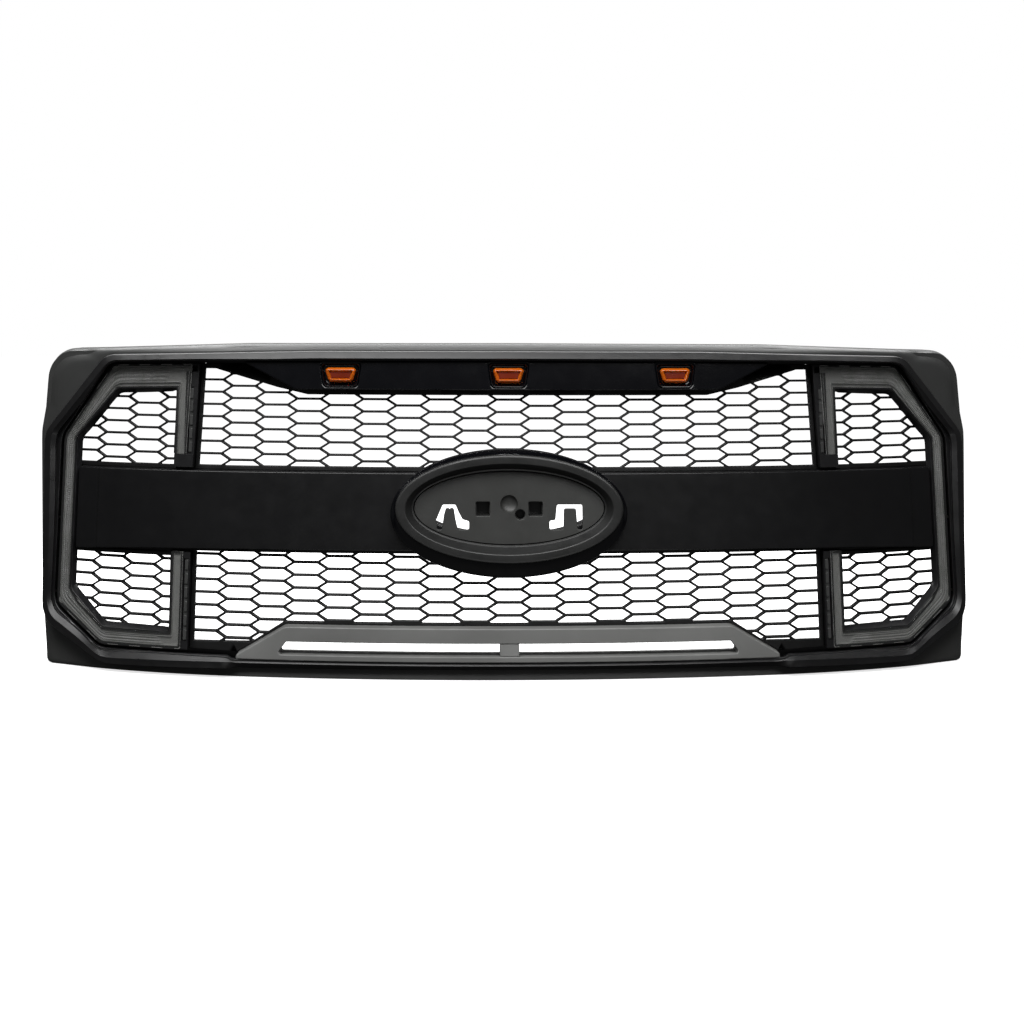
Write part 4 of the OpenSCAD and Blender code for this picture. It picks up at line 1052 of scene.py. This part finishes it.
def strip_piece(side, flip):
    """The dark strip on the inner post, with a row of grey windows."""
    near, far = post_x + 2.3, post_x + STRIP_W - 2.3
    top = LENS_BACK + 1.0
    parts = []
    rails = ((lamp_foot + 10.3, post_gap_low - 8.3), (post_gap_top + 17.3, lamp_top - LAMP_TOP_H + 1.7))
    for base, end in rails:
        rail = densify(turned(oblong(near, base, far, end) * (flip, 1)), 12)
        parts.append(slab([rail], round_over(top + 1.4, LENS_BACK + 5.6, 0.3)))
        for z in np.arange(base + 1.2, end - 12, CHIP_PITCH):
            pane = turned(oblong(near + 0.6, z, far - 0.4, z + CHIP_H) * (flip, 1))
            parts.append(slab([rounded(pane, 1.4, 3)], round_over(top, top + 1.8, 0.5, 0.1)))
    shape = joined(*parts)
    nodes = [f"post_strip_{side}"]
    finish_piece(f"post_windows_{side}", shape, strip_grey, nodes, sharp=30)


def slope_piece(side, flip):
    """The dark wall between the lens and the honeycomb."""
    outer, inner = lamp_paths(5.0)
    wide = np.where(inner[:, 0] > post_x + POST_W + 4, 6.0, 3.6)
    top = LENS_BACK + 1.2
    section = [(1, 0.25, -SEAT_GAP), (1, 0.25, top + 0.4), (1, 0.6, top), (1, 1.1, top + 0.3),
               (1, wide - 0.9, -2.4), (1, wide - 0.3, -1.6), (1, wide, -SEAT_GAP)]
    shape = band(outer, inner, section, flip)
    finish_piece(f"lamp_slope_{side}", shape, lamp_black, sharp=30)


# ---- marker lamps ----

def marker_housing_piece(side, x):
    """The recess round the lens, with sloping walls and a thin raised edge."""
    lip = BROW_FRONT
    steps = [(RECESS - 0.2, -SEAT_GAP * 2), (RECESS, lip + 1.0), (RECESS, lip - 0.3),
             (RECESS - 0.3, lip - 0.6), (RECESS - 0.9, lip - 0.5), (RECESS - 1.2, lip),
             (2.4, lip + 5.6), (1.6, lip + 6.0), (SEAT_GAP, lip + 6.0), (SEAT_GAP, -2.6)]
    rings = []
    for grow, depth in steps:
        outline = marker_outline(x, grow, max(1.6, grow * 0.7))
        rings.append(on_front(densify_even(outline, MARKER_POINTS), depth))
    finish_piece(f"marker_frame_{side}", capped(rings), gloss_black,
                 [f"marker_housing_{side}"], sharp=30)


def marker_lens_piece(side, x):
    """The lens, hollow at the back with a raised rim in front, and an opaque dark amber slab inside the
    rim as painted shade for the lamp's deep inner recess.
    """
    front, back = BROW_FRONT - 2, -7.6
    outline = marker_outline(x, 0, MARKER_BEND)
    rows = [(2.6, front + 5.6), (1.8, front + 6.2), (1.8, back), (0.0, back), (0.0, front + 4.0),
            (0.4, front + 3.0), (1.4, front + 1.4), (2.0, front + 1.1), (2.5, front + 0.4),
            (3.0, front + 0.25), (3.4, front + 0.5), (4.3, front + 3.4), (5.0, front + 3.8)]
    glass = capped(nested(turned(densify(outline, 3.0)), rows))
    nodes = [f"marker_lens_{side}"]
    finish_piece(f"marker_glass_{side}", glass, amber_clear, nodes, sharp=24)
    # Painted shade: an opaque dark amber slab fills the lens's inner face, standing in for the shade deep
    # inside the lamp.
    shade_slab = densify(rounded(inset(outline, PAINTED_SHADE_INSET), 0.8, 2), 4)
    shade_slab = slab([shade_slab], round_over(front + 2.6, front + 5.0, 0.4))
    finish_piece(f"marker_painted_shade_{side}", shade_slab, amber_painted_shade, sharp=24)


# ---- carried-over parts of the frame ----

KEPT = {
    "inner_frame": frame_black, "crossbar_beam": frame_black, "lamp_housing": lamp_black,
    "lamp_board": board_white, "lamp_chips": chip_yellow, "post_cap": lamp_black,
    "lamp_socket": socket_black, "marker_board": board_green, "bracket": bracket_black,
    "frame_screws": screw_steel, "beam_screws": screw_steel, "bracket_screws": screw_steel,
    "bump_stops": rubber_black,
}


def dress_kept_nodes():
    for name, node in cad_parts.items():
        for start, material in KEPT.items():
            if name.startswith(start):
                node.data.materials.clear()
                node.data.materials.append(material)
                node.data.shade_smooth()
                node.data.set_sharp_from_angle(angle=radians(32))


# ---- the object ----

shell_piece()
rim_piece()
brow_piece()
valance_piece()
divider_piece()
bar_piece()
collar_piece()
bezel_piece()
plate_piece()
peg_cups()
centre_meshes()
corner_meshes()
for side, flip in (("left", -1), ("right", 1)):
    lens_piece(side, flip)
    guide_piece(side, flip)
    slope_piece(side, flip)
    strip_piece(side, flip)
for side, x in MARKERS.items():
    marker_housing_piece(side, x)
    marker_lens_piece(side, x)
dress_kept_nodes()


# ---- studio ----

def pale_floor():
    """A pale floor that fades into the white background."""
    mesh = bpy.data.meshes.new("floor")
    size, depth = 14.0, -0.0005
    mesh.from_pydata([(x, y, depth) for x, y in oblong(-size, -size, size, size)], [], [(0, 1, 2, 3)])
    plane = bpy.data.objects.new("floor", mesh)
    bpy.context.scene.collection.objects.link(plane)
    tree, shader, coords = new_material("floor_pale")
    fill(shader, Base_Color=(0.86, 0.86, 0.86, 1), Roughness=0.9, Specular_IOR_Level=0.1,
         Emission_Color=(1, 1, 1, 1))
    distance = tree.add("VectorMath")
    distance.operation = "LENGTH"
    tree.link(coords, distance.inputs[0])
    glow = tree.spread(distance.outputs["Value"], 0.72, 1.0, 0.4, 2.4)
    tree.link(glow, shader.inputs["Emission Strength"])
    matte = tree.add("BsdfDiffuse", Color=(0.05, 0.05, 0.05, 1))
    output = next(n for n in tree.nodes if n.type == "OUTPUT_MATERIAL")
    tree.by_camera(matte, shader, output)
    mesh.materials.append(tree.owner)


def soft_light(name, place, aim, width, height, power):
    data = bpy.data.lights.new(name, "AREA")
    data.shape = "RECTANGLE"
    data.size, data.size_y, data.energy = width, height, power
    light = bpy.data.objects.new(name, data)
    light.location = place
    light.rotation_euler = (Vector(aim) - Vector(place)).to_track_quat("-Z", "Y").to_euler()
    bpy.context.scene.collection.objects.link(light)


def studio():
    middle = (0, 0, cad_high.z / 2)
    soft_light("overhead", (-0.25, -0.8, 2.05), middle, 2.6, 0.95, 48)
    soft_light("front_low", (0.1, -2.7, 0.2), middle, 2.2, 0.4, 5)
    soft_light("behind_top", (0, 0.9, 1.75), middle, 3.0, 0.9, 70)
    world = bpy.data.worlds.new("studio")
    tree = Tree(world)
    tree.nodes.clear()
    seen = tree.add("Background", Color=(1, 1, 1, 1))
    lit = tree.add("Background", Color=(1, 1, 1, 1), Strength=0.07)
    tree.by_camera(lit, seen, tree.add("OutputWorld"))
    bpy.context.scene.world = world
    bpy.context.scene.view_settings.view_transform = "Standard"


def camera():
    data = bpy.data.cameras.new("camera")
    data.lens, data.sensor_width = 55.52, 36.0
    data.clip_end = 60
    view = bpy.data.objects.new("camera", data)
    view.location = (-0.0486, -2.0233, 0.4419)
    view.rotation_euler = (radians(82.87), radians(-0.18), radians(-1.52))
    bpy.context.scene.collection.objects.link(view)
    bpy.context.scene.camera = view


pale_floor()
studio()
camera()
